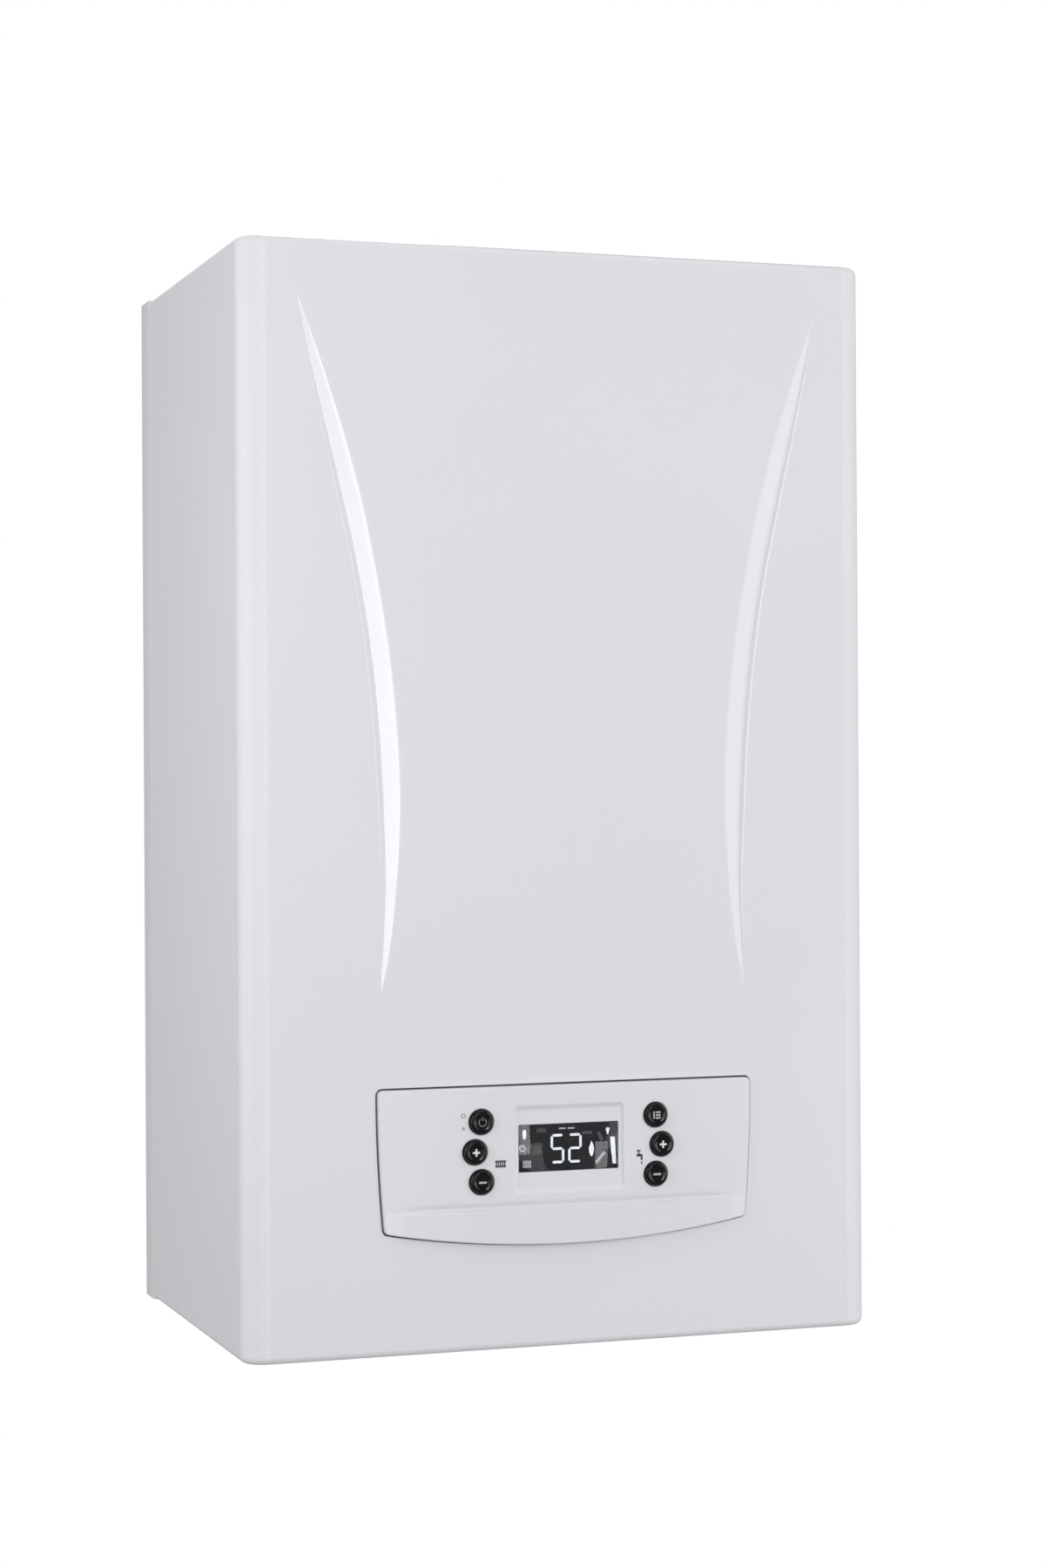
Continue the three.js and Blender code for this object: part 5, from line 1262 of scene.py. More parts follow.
# ------------------------------------------------------------------ fan, mixer, gas
def make_air():
    p = Part()
    at = (30, 0, 285)
    p.add(lathe([(5, -92), (56, -92), (59.8, -90.6), (62, -87), (62, -47), (59.8, -43.4), (56, -42), (21, -42), (21, -47), (54, -47), (54, -89), (5, -89), (5, -92)], at, "y", 72), 0)
    p.add(block(56, 92, -88, -46, 292, 343, 2.6, 3), 0)
    p.add(block(50, 98, -92, -42, 339.4, 344.9, 2.2, 2), 0)
    for a, b in ((53.6, -88.4), (94.4, -88.4), (53.6, -45.6), (94.4, -45.6)):
        p.add(nut(a, b, 7, 335.4, 339.6, "z", 0.5), 1)
    p.add(lathe([(60, -69), (62, -69), (64.6, -68), (64.6, -66), (62, -65), (60, -65), (60, -69)], at, "y", 72), 0)
    for i in range(8):
        a = math.radians(45 * i + 22.5)
        if 0 < math.degrees(a) < 60:
            continue
        x, z = 30 + 61.8 * math.cos(a), 285 + 61.8 * math.sin(a)
        p.add(disc(4.2, -72, -62, (x, 0, z), "y", 20, 0.6), 0)
        p.add(nut(x, z, 5.5, -74.6, -72, "y", 0.4), 1)
    for i in range(10):
        p.add(spun(block(30 + 38.5, 30 + 56, -93.2, -91, 284.2, 285.8, 0.5), 36 * i, 30, 285, "y"), 0)
    p.piece("fan_housing_casting", [M["cast_aluminium"], M["zinc_screw"]], ROOT, "fan_housing", "cast_aluminium", 30)

    m = Part()
    m.add(lathe([(4.2, -92.3), (36, -92.3), (36, -96), (34.6, -97), (34.6, -117), (36, -118), (36, -121.6), (33.4, -126), (28, -129), (22, -130), (0, -130), (0, -121), (4.2, -121), (4.2, -92.3)], at, "y", 56), 0)
    for i in range(24):
        m.add(spun(block(30 + 34, 30 + 35.9, -117.4, -96.6, 284.3, 285.7, 0.35, 1), 15 * i, 30, 285, "y"), 0)
    m.add(block(18, 42, -121.5, -101, 317, 329, 1.4, 2), 0)
    m.add(block(21, 39, -119.6, -105, 326, 331.4, 0.7, 2), 1)
    for k in range(4):
        m.add(block(23.4 + 3.6 * k, 25.6 + 3.6 * k, -116, -108, 330.4, 332.4, 0.2, 1), 2)
    m.add(ring(17.5, 19, -130, -129.3, at, "y", 40, 0.25), 0)
    m.piece("fan_motor_can", [M["motor_black"], M["connector_white"], M["chip_black"]], ROOT, "fan_motor", "motor_black", 30)

    g = Part()
    g.add(lathe([(20, -41.7), (32, -41.7), (32, -37), (30.6, -35.6), (27, -34), (26, -31), (26, 0), (27, 2.6), (30, 4), (30, 7.4), (29.4, 8), (23, 8), (15, -16), (20, -41.7)], at, "y", 48), 0)
    g.add(lathe([(0, 238.3), (9, 238.3), (9, 241), (8, 242), (8, 262), (0, 262)], (30, -18, 0), "z", 28), 0)
    for i in range(4):
        a = math.radians(90 * i + 45)
        g.add(nut(30 + 29 * math.cos(a), 285 + 29 * math.sin(a), 6, -37, -33.6, "y", 0.4), 1)
        g.add(block(30 + 27 * math.cos(a) - 3.4, 30 + 27 * math.cos(a) + 3.4, -33.4, 3.6, 285 + 26 * math.sin(a) - 1, 285 + 26 * math.sin(a) + 1, 0.5), 0) if i > 1 else None
    g.piece("gas_air_mixer_casting", [M["cast_aluminium"], M["zinc_screw"]], ROOT, "gas_air_mixer", "cast_aluminium", 30)

    s = Part()
    s.add(block(-12, 72, 8.3, 62, 245, 338, 7, 4), 0)
    s.add(block(-12.7, 72.7, 33.6, 36.2, 244.3, 338.7, 1.0, 2), 0)
    for z in (262, 276, 290):
        s.add(block(-12.9, 72.9, 10, 32, z - 1, z + 1, 0.7), 0)
    s.add(lathe([(13.6, -17.5), (16.4, -17.5), (16.9, -16.5), (16.9, -11), (13.6, -11), (13.6, -17.5)], (0, 35, 312), "x", 36), 0)
    s.add(disc(14, -12.6, -11.8, (0, 35, 312), "x", 32, 0.1), 1)
    s.piece("intake_silencer_moulding", [M["motor_black"], M["chip_black"]], ROOT, "intake_silencer", "motor_black", 30)

    v = Part()
    v.add(block(-5.6, 65.6, -38.6, 17.6, 172, 228, 3.4, 3), 0)
    v.add(block(2, 58, -39, 18, 170, 230, 2.4, 3), 0)
    v.add(block(-6, 66, -26, 6, 180, 220, 2.0, 3), 0)
    v.add(lathe([(0, 229), (9, 229), (9, 238), (0, 238)], (30, -18, 0), "z", 28), 0)
    v.add(nut(30, -18, 20, 230.5, 235.6, "z", 0.7), 2)
    for x in (14, 48):
        v.add(lathe([(0, -38), (13.2, -38), (14, -39.2), (14, -41), (12.6, -41.6), (12.6, -63), (14, -63.6), (14, -65.4), (13.2, -66.4), (0, -66.4)], (x, 0, 198), "y", 40), 1)
        v.add(lathe([(0, -66), (4.6, -66), (4.6, -67.4), (3.8, -68), (0, -68)], (x, 0, 198), "y", 24), 2)
        for y in (-45, -49, -53, -57):
            v.add(ring(12, 13.1, y - 1, y + 1, (x, 0, 198), "y", 36, 0.3), 1)
    v.add(block(8, 54, -62, -40, 211, 224, 1.4, 2), 1)
    for x in (-1, 61):
        for z in (177, 223):
            screw(v, x, z, -38.6, "y", -1, 3.0, 3)
    v.add(disc(5.2, -42.4, -38, (31, 0, 178), "y", 24, 0.6), 2)
    v.add(lathe([(0, 163), (12, 163), (13.4, 164.4), (13.4, 170.6), (0, 170.6)], (10, 5, 0), "z", 36), 0)
    v.piece("gas_valve_body", [M["cast_aluminium"], M["motor_black"], M["brass"], M["zinc_screw"]], ROOT, "gas_valve", "cast_aluminium", 30)

    q = Part()
    q.add(tube(path([(0, 55, 48.3), (0, 55, 90), (2, 44, 118), (8, 14, 142), (10, 5, 158), (10, 5, 163)], 0, 7), 8.8, 28), 0)
    q.add(nut(0, 55, 24, 48.4, 60, "z", 0.8), 1)
    q.add(lathe([(8.6, 60), (11.6, 60), (9.8, 64.5), (8.6, 64.5), (8.6, 60)], (0, 55, 0), "z", 32), 1)
    q.add(nut(10, 5, 22, 152.4, 162.6, "z", 0.8), 1)
    q.piece("gas_pipe_bent", [M["copper"], M["brass"]], ROOT, "gas_pipe", "copper", 30)


# ------------------------------------------------------------------ water side
def loft(rings):
    """A closed solid through rings of the same count, flat at both ends."""
    n = len(rings[0])
    v = [p for r in rings for p in r]
    f = [list(range(n)), [(len(rings) - 1) * n + i for i in reversed(range(n))]]
    for k in range(len(rings) - 1):
        f += [[k * n + i, (k + 1) * n + i, (k + 1) * n + (i + 1) % n, k * n + (i + 1) % n] for i in range(n)]
    return consistent(np.array(v, float), f)


def make_vessel():
    p = Part()
    half = [(33.4, 26), (33.2, 20), (32.4, 15.6), (30.6, 11.8), (27.6, 8.6), (23, 6.2), (16, 4.6), (8, 3.8), (1.4, 3.6)]
    stations = [(-161 - a, d) for a, d in half] + [(-161 + a, d) for a, d in reversed(half)]
    p.add(loft([[(x, a, b) for a, b in rrect(-60 + d, 132 - d, 205 + d, 640 - d, max(40 - d, 12), 9)] for x, d in stations]), 0)
    p.add(loft([[(x, a, b) for a, b in rrect(-60 + d, 132 - d, 205 + d, 640 - d, 40 - d, 9)] for x, d in ((-162.6, 0.5), (-162.2, 0), (-159.8, 0), (-159.4, 0.5))]), 0)
    p.add(nut(-140, 95, 19, 194, 204, "z", 0.8), 1)
    p.add(disc(8, 190, 209, (-140, 95, 0), "z", 28, 0.5), 1)
    p.add(disc(6, 160.3, 191, (-140, 95, 0), "z", 28, 0.3), 2)
    p.add(nut(-140, 95, 17, 160.4, 169, "z", 0.8), 1)
    # gas charging valve with its cap, on the front edge of the seam
    p.add(lathe([(0, 626), (6.5, 626), (6.5, 628.5), (4.2, 629.5), (4.2, 637), (5.2, 637.6), (5.2, 645.4), (4.4, 646.2), (0, 646.2)], (-161, 20, 0), "z", 24), 3)
    # bracket tabs to the back sheet
    for z in (270, 575):
        p.add(block(-161.8, -160.2, 128, 141.2, z - 16, z + 16, 0.4), 4)
        p.add(block(-176, -160.2, 139.6, 141.2, z - 16, z + 16, 0.4), 4)
    p.piece("expansion_vessel_pressed", [M["vessel_red"], M["brass"], M["copper"], M["knob_black"], M["galvanised"]], ROOT, "expansion_vessel", "vessel_red", 30)


def make_manifolds():
    for s, name, old in ((-1, "flow_manifold_forging", "flow_manifold"), (1, "return_manifold_forging", "return_manifold")):
        p = Part()
        X = lambda x: s * x

        def barrel(rad, a, b, at, axis="z", n=36, m=0, lip=1.6, r=0.6):
            lo, hi = min(a, b), max(a, b)
            p.add(lathe([(0, lo), (rad, lo), (rad, lo + 4), (rad - lip, lo + 5), (rad - lip, hi - 5), (rad, hi - 4), (rad, hi), (0, hi)], at, axis, n), m)

        barrel(18.5, 48, 118, (X(130), 59, 0))                     # over the heating stub
        p.add(block(*sorted((X(97), X(148))), 50, 122, 78, 124, 7, 4), 0)
        barrel(19.5, 41, 130, (X(123.5), 0, 101), "y")             # valve chamber
        p.add(block(*sorted((X(95.6), X(112))), 86, 130, 84, 142, 4, 3), 0)   # port block of the plate heat exchanger
        p.add(block(*sorted((X(108), X(146))), 84, 128, 112, 150, 5, 3), 0)
        p.add(block(*sorted((X(56), X(140))), 45, 65, 48.4, 67.6, 7, 4), 0)   # foot to the tap-water stub
        barrel(10.4, X(53), X(64), (0, 55, 58), "x", lip=0.8)
        for z in (64, 74):
            p.add(ring(16.4, 18.6, z, z + 2.2, (X(130), 59, 0), "z", 36, 0.4), 0)
        if s < 0:
            barrel(12.6, 112, 160, (-112, 60, 0), lip=1.2)
            barrel(11.0, 146, 160, (-140, 95, 0), lip=0.8)
        else:
            barrel(13.4, 112, 160, (122, 52, 0), lip=1.2)
        # spring clips and the fixing screws
        for at, axis, rad in (((X(123.5), 0, 101), "y", 19.6),):
            for h in (46.2, 118):
                p.add(lathe([(rad - 1, h), (rad + 0.6, h), (rad + 0.6, h + 1.6), (rad - 1, h + 1.6), (rad - 1, h)], at, axis, 36), 1)
        for y in (92, 124):
            p.add(nut(X(140), y, 7, 149.6, 153.6, "z", 0.5), 1)
        p.piece(name, [M["brass"], M["zinc_screw"]], ROOT, old, "brass", 30)


def make_plate_exchanger():
    p = Part()
    y, k = 86.2, 0
    while y < 132.4:
        d = 0.2 if k % 2 == 0 else 1.5
        p.add(prism(rrect(-95 + d, 95 - d, 75 + d, 150 - d, 13, 6), y, y + 1.9, "y", 0.35, 1), 0 if k % 2 == 0 else 1)
        y, k = y + 1.85, k + 1
    p.add(prism(rrect(-93, 93, 77, 148, 12, 6), 84, 134, "y"), 1)
    p.add(prism(rrect(-92, 92, 78, 147, 12, 6), 82, 85.6, "y", 0.9, 3), 0)
    p.add(prism(rrect(-92, 92, 78, 147, 12, 6), 132.6, 134, "y", 0.5, 2), 0)
    # herringbone ridges pressed in the front plate
    for i in range(-8, 9):
        for s in (-1, 1):
            x = 8.4 * i
            out = [(x, 112.5), (x + 3, 112.5), (x + 3 + 14, 112.5 + s * 24), (x + 14, 112.5 + s * 24)]
            if max(abs(q[0]) for q in out) < 70:
                p.add(prism(out, 81.2, 82.6, "y", 0.35, 1), 0)
    for x in (-78, 78):
        for z in (91, 134):
            p.add(lathe([(0, 82.6), (8.6, 82.6), (8.0, 81.2), (0, 81.2)], (x, 0, z), "y", 32), 0)
    p.piece("plate_heat_exchanger_brazed", [M["steel"], M["copper"]], ROOT, "plate_heat_exchanger", "steel", 30)


def make_pump():
    at = (135, 0, 215)
    h = Part()
    h.add(lathe([(30, 20.3), (35, 20.3), (38, 22), (38, 28), (36.6, 29.4), (36.6, 50), (34, 57), (28, 61), (20, 62), (0, 62), (0, 46), (30, 46), (30, 20.3)], at, "y", 64), 0)
    h.add(lathe([(0, 160.3), (9, 160.3), (10, 161.2), (10, 167), (8.8, 168), (8.8, 190), (0, 190)], (122, 52, 0), "z", 32), 0)
    h.add(nut(122, 52, 22, 168.5, 175, "z", 0.8), 1)
    h.add(lathe([(0, 225), (10.6, 225), (10.6, 262), (12, 263), (12, 275), (0, 275)], (160, 41, 0), "z", 32), 0)
    h.add(lathe([(0, 220), (9, 220), (9, 243), (10, 244), (10, 252), (0, 252)], (112, 41, 0), "z", 32), 0)
    h.add(block(109, 161, 28, 54, 233, 246, 4, 3), 0)
    for i in range(4):
        a = math.radians(90 * i + 45)
        h.add(disc(5.4, 20.4, 30, (135 + 36 * math.cos(a), 0, 215 + 36 * math.sin(a)), "y", 24, 0.6), 0)
    h.piece("pump_housing_casting", [M["cast_aluminium"], M["brass"]], ROOT, "pump_housing", "cast_aluminium", 30)

    m = Part()
    m.add(lathe([(4.6, 20), (36, 20), (36, 12.6), (41, 12), (44, 10.4), (44, 6), (42.6, 5), (42.6, -54), (44, -55), (44, -58), (41.6, -61), (36, -62), (0, -62), (0, -24), (4.6, -24), (4.6, 20)], at, "y", 64), 0)
    for i in range(28):
        m.add(spun(block(135 + 41.6, 135 + 43.9, -53, 4, 214.2, 215.8, 0.5), 360 / 28 * i, 135, 215, "y"), 0)
    m.add(block(109, 161, -70, -61, 189, 241, 4, 3), 0)
    m.add(lathe([(0, -70.8), (7.4, -70.8), (8.2, -70), (8.2, -69), (0, -69)], (127, 0, 223), "y", 32), 1)
    m.add(block(126.2, 127.8, -71.8, -70.4, 216.6, 229.4, 0.4), 1)
    for k in range(5):
        m.add(disc(1.2, -70.5, -69.6, (146 + (k % 2) * 7 - 3, 0, 231 - 5 * k), "y", 14, 0.2), 2)
    m.add(block(114, 136, -69.4, -62.4, 186, 191, 1.0), 2)
    for i in range(4):
        a = math.radians(90 * i + 45)
        m.add(disc(2.9, 9, 14.6, (135 + 38.5 * math.cos(a), 0, 215 + 38.5 * math.sin(a)), "y", 20, 0.4), 3)
    m.piece("pump_motor_can", [M["motor_black"], M["box_grey"], M["connector_white"], M["zinc_screw"]], ROOT, "pump_motor", "motor_black", 30)

    v = Part()
    v.add(lathe([(0, 252.3), (8.4, 252.3), (9, 253), (9, 256), (13, 257.6), (14, 259), (14, 288.6), (13, 290.6), (11, 292.4), (7, 293), (0, 293)], (112, 41, 0), "z", 40), 0)
    v.add(lathe([(0, 292.6), (5.2, 292.6), (5.2, 294.2), (6, 295), (6, 300), (5.2, 301), (0, 301)], (112, 41, 0), "z", 28), 1)
    for i in range(14):
        v.add(spun(block(112 + 5.4, 112 + 6.2, 40.6, 41.4, 295.4, 299.8, 0.2, 1), 360 / 14 * i, 112, 41), 1)
    v.add(nut(112, 41, 18, 252.5, 256.4, "z", 0.6), 0)
    v.piece("air_vent_turned", [M["brass"], M["knob_black"]], ROOT, "air_vent", "brass", 30)

    for name, old, route, ends in (("flow_pipe_bent", "flow_pipe", [(-92.3, 60, 400), (-112, 60, 400), (-112, 60, 160.3)], (("x", 60, 400, -99.5, -92.5), ("z", -112, 60, 160.4, 170))),
                                   ("return_pipe_bent", "return_pipe", [(160, 41, 275.3), (160, 41, 400), (140.3, 41, 400)], (("x", 41, 400, 140.4, 147.4), ("z", 160, 41, 275.4, 285)))):
        q = Part()
        q.add(tube(path(route, 15, 10), 8, 28), 0)
        for axis, a, b, h0, h1 in ends:
            q.add(nut(a, b, 22, h0, h1, axis, 0.8), 1)
        q.piece(name, [M["copper"], M["brass"]], ROOT, old, "copper", 30)


def make_valves():
    d = Part()
    d.add(block(-147, -103, -8, 24, 76, 126, 3.4, 3), 0)
    d.add(block(-145, -105, 22, 30, 78, 124, 2, 2), 0)
    d.add(lathe([(0, 29), (13, 29), (14, 30.2), (14, 33.4), (12.4, 34.4), (12.4, 39.7), (0, 39.7)], (-125, 0, 101), "y", 36), 1)
    d.add(block(-139, -111, -8.8, -6, 82, 98, 0.8), 1)
    for z in (106, 110, 114, 118):
        d.add(block(-140, -110, -8.7, -7, z - 0.7, z + 0.7, 0.4), 0)
    d.add(block(-135, -115, 6, 20, 70.5, 78, 1.0), 2)
    for x, z in ((-143.4, 79.6), (-106.6, 79.6), (-143.4, 122.4), (-106.6, 122.4)):
        screw(d, x, z, -7.6, "y", -1, 2.2, 3, 0.5)
    d.piece("diverter_motor_case", [M["box_grey"], M["knob_black"], M["connector_white"], M["zinc_screw"]], ROOT, "diverter_motor", "box_grey", 30)

    s = Part()
    s.add(lathe([(0, 5), (9.6, 5), (11, 6.4), (11, 22), (9.4, 23), (9.4, 29), (11, 30), (11, 39.7), (0, 39.7)], (135, 0, 95), "y", 36), 0)
    s.add(nut(135, 95, 21, 31, 38, "y", 0.8), 0)
    s.add(lathe([(0, 70), (6.6, 70), (8, 71.4), (8, 80), (7.2, 81), (7.2, 96), (0, 96)], (135, 20, 0), "z", 28), 0)
    s.add(nut(135, 20, 14.6, 72.4, 79, "z", 0.6), 0)
    s.add(disc(3, -9, 6, (135, 0, 95), "y", 24, 0.3), 1)
    s.piece("safety_valve_turned", [M["brass"], M["nickel"]], ROOT, "safety_valve", "brass", 30)
    k = Part()
    k.add(lathe([(3.4, 4.7), (12.6, 4.7), (13.4, 4), (13.4, -10), (12.4, -13), (10.6, -14), (0, -14), (0, -10), (3.4, -10), (3.4, 4.7)], (135, 0, 95), "y", 48), 0)
    for i in range(10):
        k.add(spun(lathe([(0, 3.8), (1.9, 3.8), (2.1, 3.2), (2.1, -10.4), (1.4, -11.6), (0, -11.6)], (135 + 12.8, 0, 95), "y", 16), 36 * i, 135, 95, "y"), 0)
    k.add(block(133.6, 136.4, -14.6, -13.2, 95.5, 106, 0.5), 1)
    k.piece("safety_valve_knob_lobed", [M["knob_red"], M["symbol_light"]], "safety_knob_body", "safety_valve_knob", "knob_red", 30)

    f = Part()
    f.add(lathe([(0, 20), (7.6, 20), (9, 21.2), (9, 30), (8, 31), (8, 44), (9, 45), (9, 74), (8.2, 75), (0, 75)], (108, 28, 0), "z", 32), 0)
    f.add(nut(108, 28, 17, 50, 58, "z", 0.7), 0)
    f.add(lathe([(0, 27), (7, 27), (7, 39.7), (0, 39.7)], (108, 0, 62), "y", 28), 0)
    f.add(disc(3, 10, 21, (108, 28, 0), "z", 24, 0.3), 1)
    f.piece("filling_valve_turned", [M["brass"], M["nickel"]], ROOT, "filling_valve", "brass", 30)
    g = Part()
    g.add(lathe([(3.4, 19.7), (11, 19.7), (12, 18.6), (12, 8.6), (10.6, 6.8), (9.4, 6.5), (0, 6.5), (0, 9), (3.4, 9), (3.4, 19.7)], (108, 28, 0), "z", 48), 0)
    for i in range(9):
        g.add(spun(lathe([(0, 18.2), (1.8, 18.2), (2.1, 17.4), (2.1, 9.2), (1.3, 8), (0, 8)], (108 + 11.3, 28, 0), "z", 16), 40 * i, 108, 28), 0)
    g.add(block(107, 109, 30, 37, 6.1, 7.2, 0.4), 1)
    g.piece("filling_knob_lobed", [M["knob_black"], M["symbol_light"]], "filling_knob_body", "filling_knob", "knob_black", 30)


def make_trap():
    p = Part()
    at = (-150, -35, 0)
    p.add(lathe([(0, 62), (20, 62), (23, 63.4), (24, 66), (24, 80), (22.8, 81), (22, 82), (22, 148), (24, 149.4), (24, 160), (22.6, 161), (22.6, 176), (20, 181), (16, 182), (0, 182)], at, "z", 56), 0)
    for i in range(20):
        p.add(spun(block(-150 + 22.4, -150 + 24, -35.9, -34.1, 65.4, 79.4, 0.5, 1), 18 * i, -150, -35), 0)
    p.add(lathe([(6.6, 16), (9, 16), (9, 22), (7.9, 23), (7.9, 26), (9, 27), (9, 63), (0, 63), (0, 50), (6.6, 50), (6.6, 16)], at, "z", 36), 0)
    p.add(lathe([(0, -150), (9, -150), (9, -126.4), (8.4, -125.7), (0, -125.7)], (0, -35, 160), "x", 28), 0)
    p.add(lathe([(8.6, -134), (10.4, -134), (10.4, -131), (8.6, -131), (8.6, -134)], (0, -35, 160), "x", 28), 1)
    for z in (100, 124):
        p.add(ring(21.8, 23, z - 1.2, z + 1.2, at, "z", 56, 0.5), 0)
    p.piece("condensate_trap_moulded", [M["trap_grey"], M["zinc_screw"]], ROOT, "condensate_trap", "trap_grey", 30)

    h = Part()
    pts = path([(0, 100, 334.5), (0, 100, 322), (-14, 98, 296), (-48, 80, 268), (-76, 38, 246), (-88, -8, 226), (-90, -34, 200), (-93, -35, 176), (-104, -35, 160.4), (-116, -35, 160), (-125.4, -35, 160)], 0, 40)
    pts = [q for i, q in enumerate(pts) if i == 0 or np.linalg.norm(q - pts[i - 1]) > 1e-6]
    length = sum(float(np.linalg.norm(b - a)) for a, b in zip(pts, pts[1:]))
    step, even, left = 0.9, [pts[0]], 0.0
    d = [0.0]
    for a, b in zip(pts, pts[1:]):
        d.append(d[-1] + float(np.linalg.norm(b - a)))
    n = int(length / step)
    P = np.array(pts)
    even = [np.array([np.interp(length * i / n, d, P[:, c]) for c in range(3)]) for i in range(n + 1)]
    wave = lambda t: 8.4 if t < 0.045 or t > 0.955 else 7.75 + 0.65 * math.cos(2 * math.pi * t * length / 4.5)
    h.add(tube(even, wave, 20), 0)
    h.piece("condensate_hose_ribbed", [M["hose_grey"]], ROOT, "condensate_hose", "hose_grey", 50)


def make_stubs():
    for name, x, r, bore, m in (("heating_flow_stub", -130, 13.2, 9, "brass"), ("hot_water_stub", -65, 10.4, 7, "brass"), ("gas_stub", 0, 13.2, 9, "brass"),
                                ("cold_water_stub", 65, 10.4, 7, "brass"), ("heating_return_stub", 130, 13.2, 9, "brass")):
        p = Part()
        prof, z = [(bore, 12.6), (bore + 0.6, 12), (r - 1.6, 12), (r - 1.2, 12.4)], 13.2
        while z < 28.6:
            prof += [(r - 1.15, z), (r, z + 0.55), (r, z + 0.85), (r - 1.15, z + 1.4)]
            z += 1.8
        prof += [(r - 1.15, 29.4), (r - 1.15, 31), (r + 0.5, 31), (r + 0.5, 37.4), (r, 37.8), (r, 47.2), (r - 0.5, 47.7), (bore, 47.7), (bore, 12.6)]
        p.add(lathe(prof, (x, 55, 0), "z", 44), 0)
        hexa = [(x + (r + 3.6) * math.cos(math.radians(60 * i + 30)), 55 + (r + 3.6) * math.sin(math.radians(60 * i + 30))) for i in range(6)]
        p.add(plate(hexa, [circle(x, 55, r - 0.4, 44)], 31, 37.2, "z", 0.7), 0)
        p.piece(name + "_threaded", [M[m]], ROOT, name, m, 30)
    g = Part()
    g.add(lathe([(4, 20.6), (4.6, 20), (6.4, 20), (7.4, 20.8), (9, 24), (9, 29.2), (4, 29.2), (4, 20.6)], (178, 60, 0), "z", 36), 0)
    for i in range(12):
        g.add(spun(block(178 + 7.8, 178 + 9.2, 59.3, 60.7, 23.6, 28.8, 0.3, 1), 30 * i, 178, 60), 0)
    hexa = [(178 + 11 * math.cos(math.radians(60 * i)), 60 + 11 * math.sin(math.radians(60 * i))) for i in range(6)]
    g.add(plate(hexa, [circle(178, 60, 4, 28)], 29, 37.3, "z", 0.7), 0)
    g.add(ring(4, 8, 37, 47, (178, 60, 0), "z", 32, 0.4), 0)
    g.add(ring(3.4, 5.4, 20.3, 24, (178, 60, 0), "z", 28, 0.4), 1)
    g.piece("cable_gland_ribbed", [M["box_grey"], M["rubber_black"]], ROOT, "cable_gland", "box_grey", 30)


def make_casing_screws():
    for s, name in ((-1, "casing_screw_left"), (1, "casing_screw_right")):
        x = s * 150
        p = Part()
        p.add(lathe([(0, 1.9), (5, 1.9), (5, 3.7), (2, 3.7), (2, 12), (1.2, 13.5), (0, 13.5)], (x, -115, 0), "z", 32), 0)
        p.add(plate(circle(x, -115, 5, 32), [cross(x, -115, 3.0, 0.55)], 1.2, 2.1, "z", 0.0), 0)
        p.add(plate(circle(x, -115, 4.4, 32), [cross(x, -115, 3.0, 0.55)], 0.8, 1.4, "z", 0.0), 0)
        p.add(ring(1.9, 2.25, 5.6, 11.4, (x, -115, 0), "z", 24, 0.1), 0)
        p.piece(name + "_cross", [M["zinc_screw"]], "casing", name, "zinc_screw", 30)


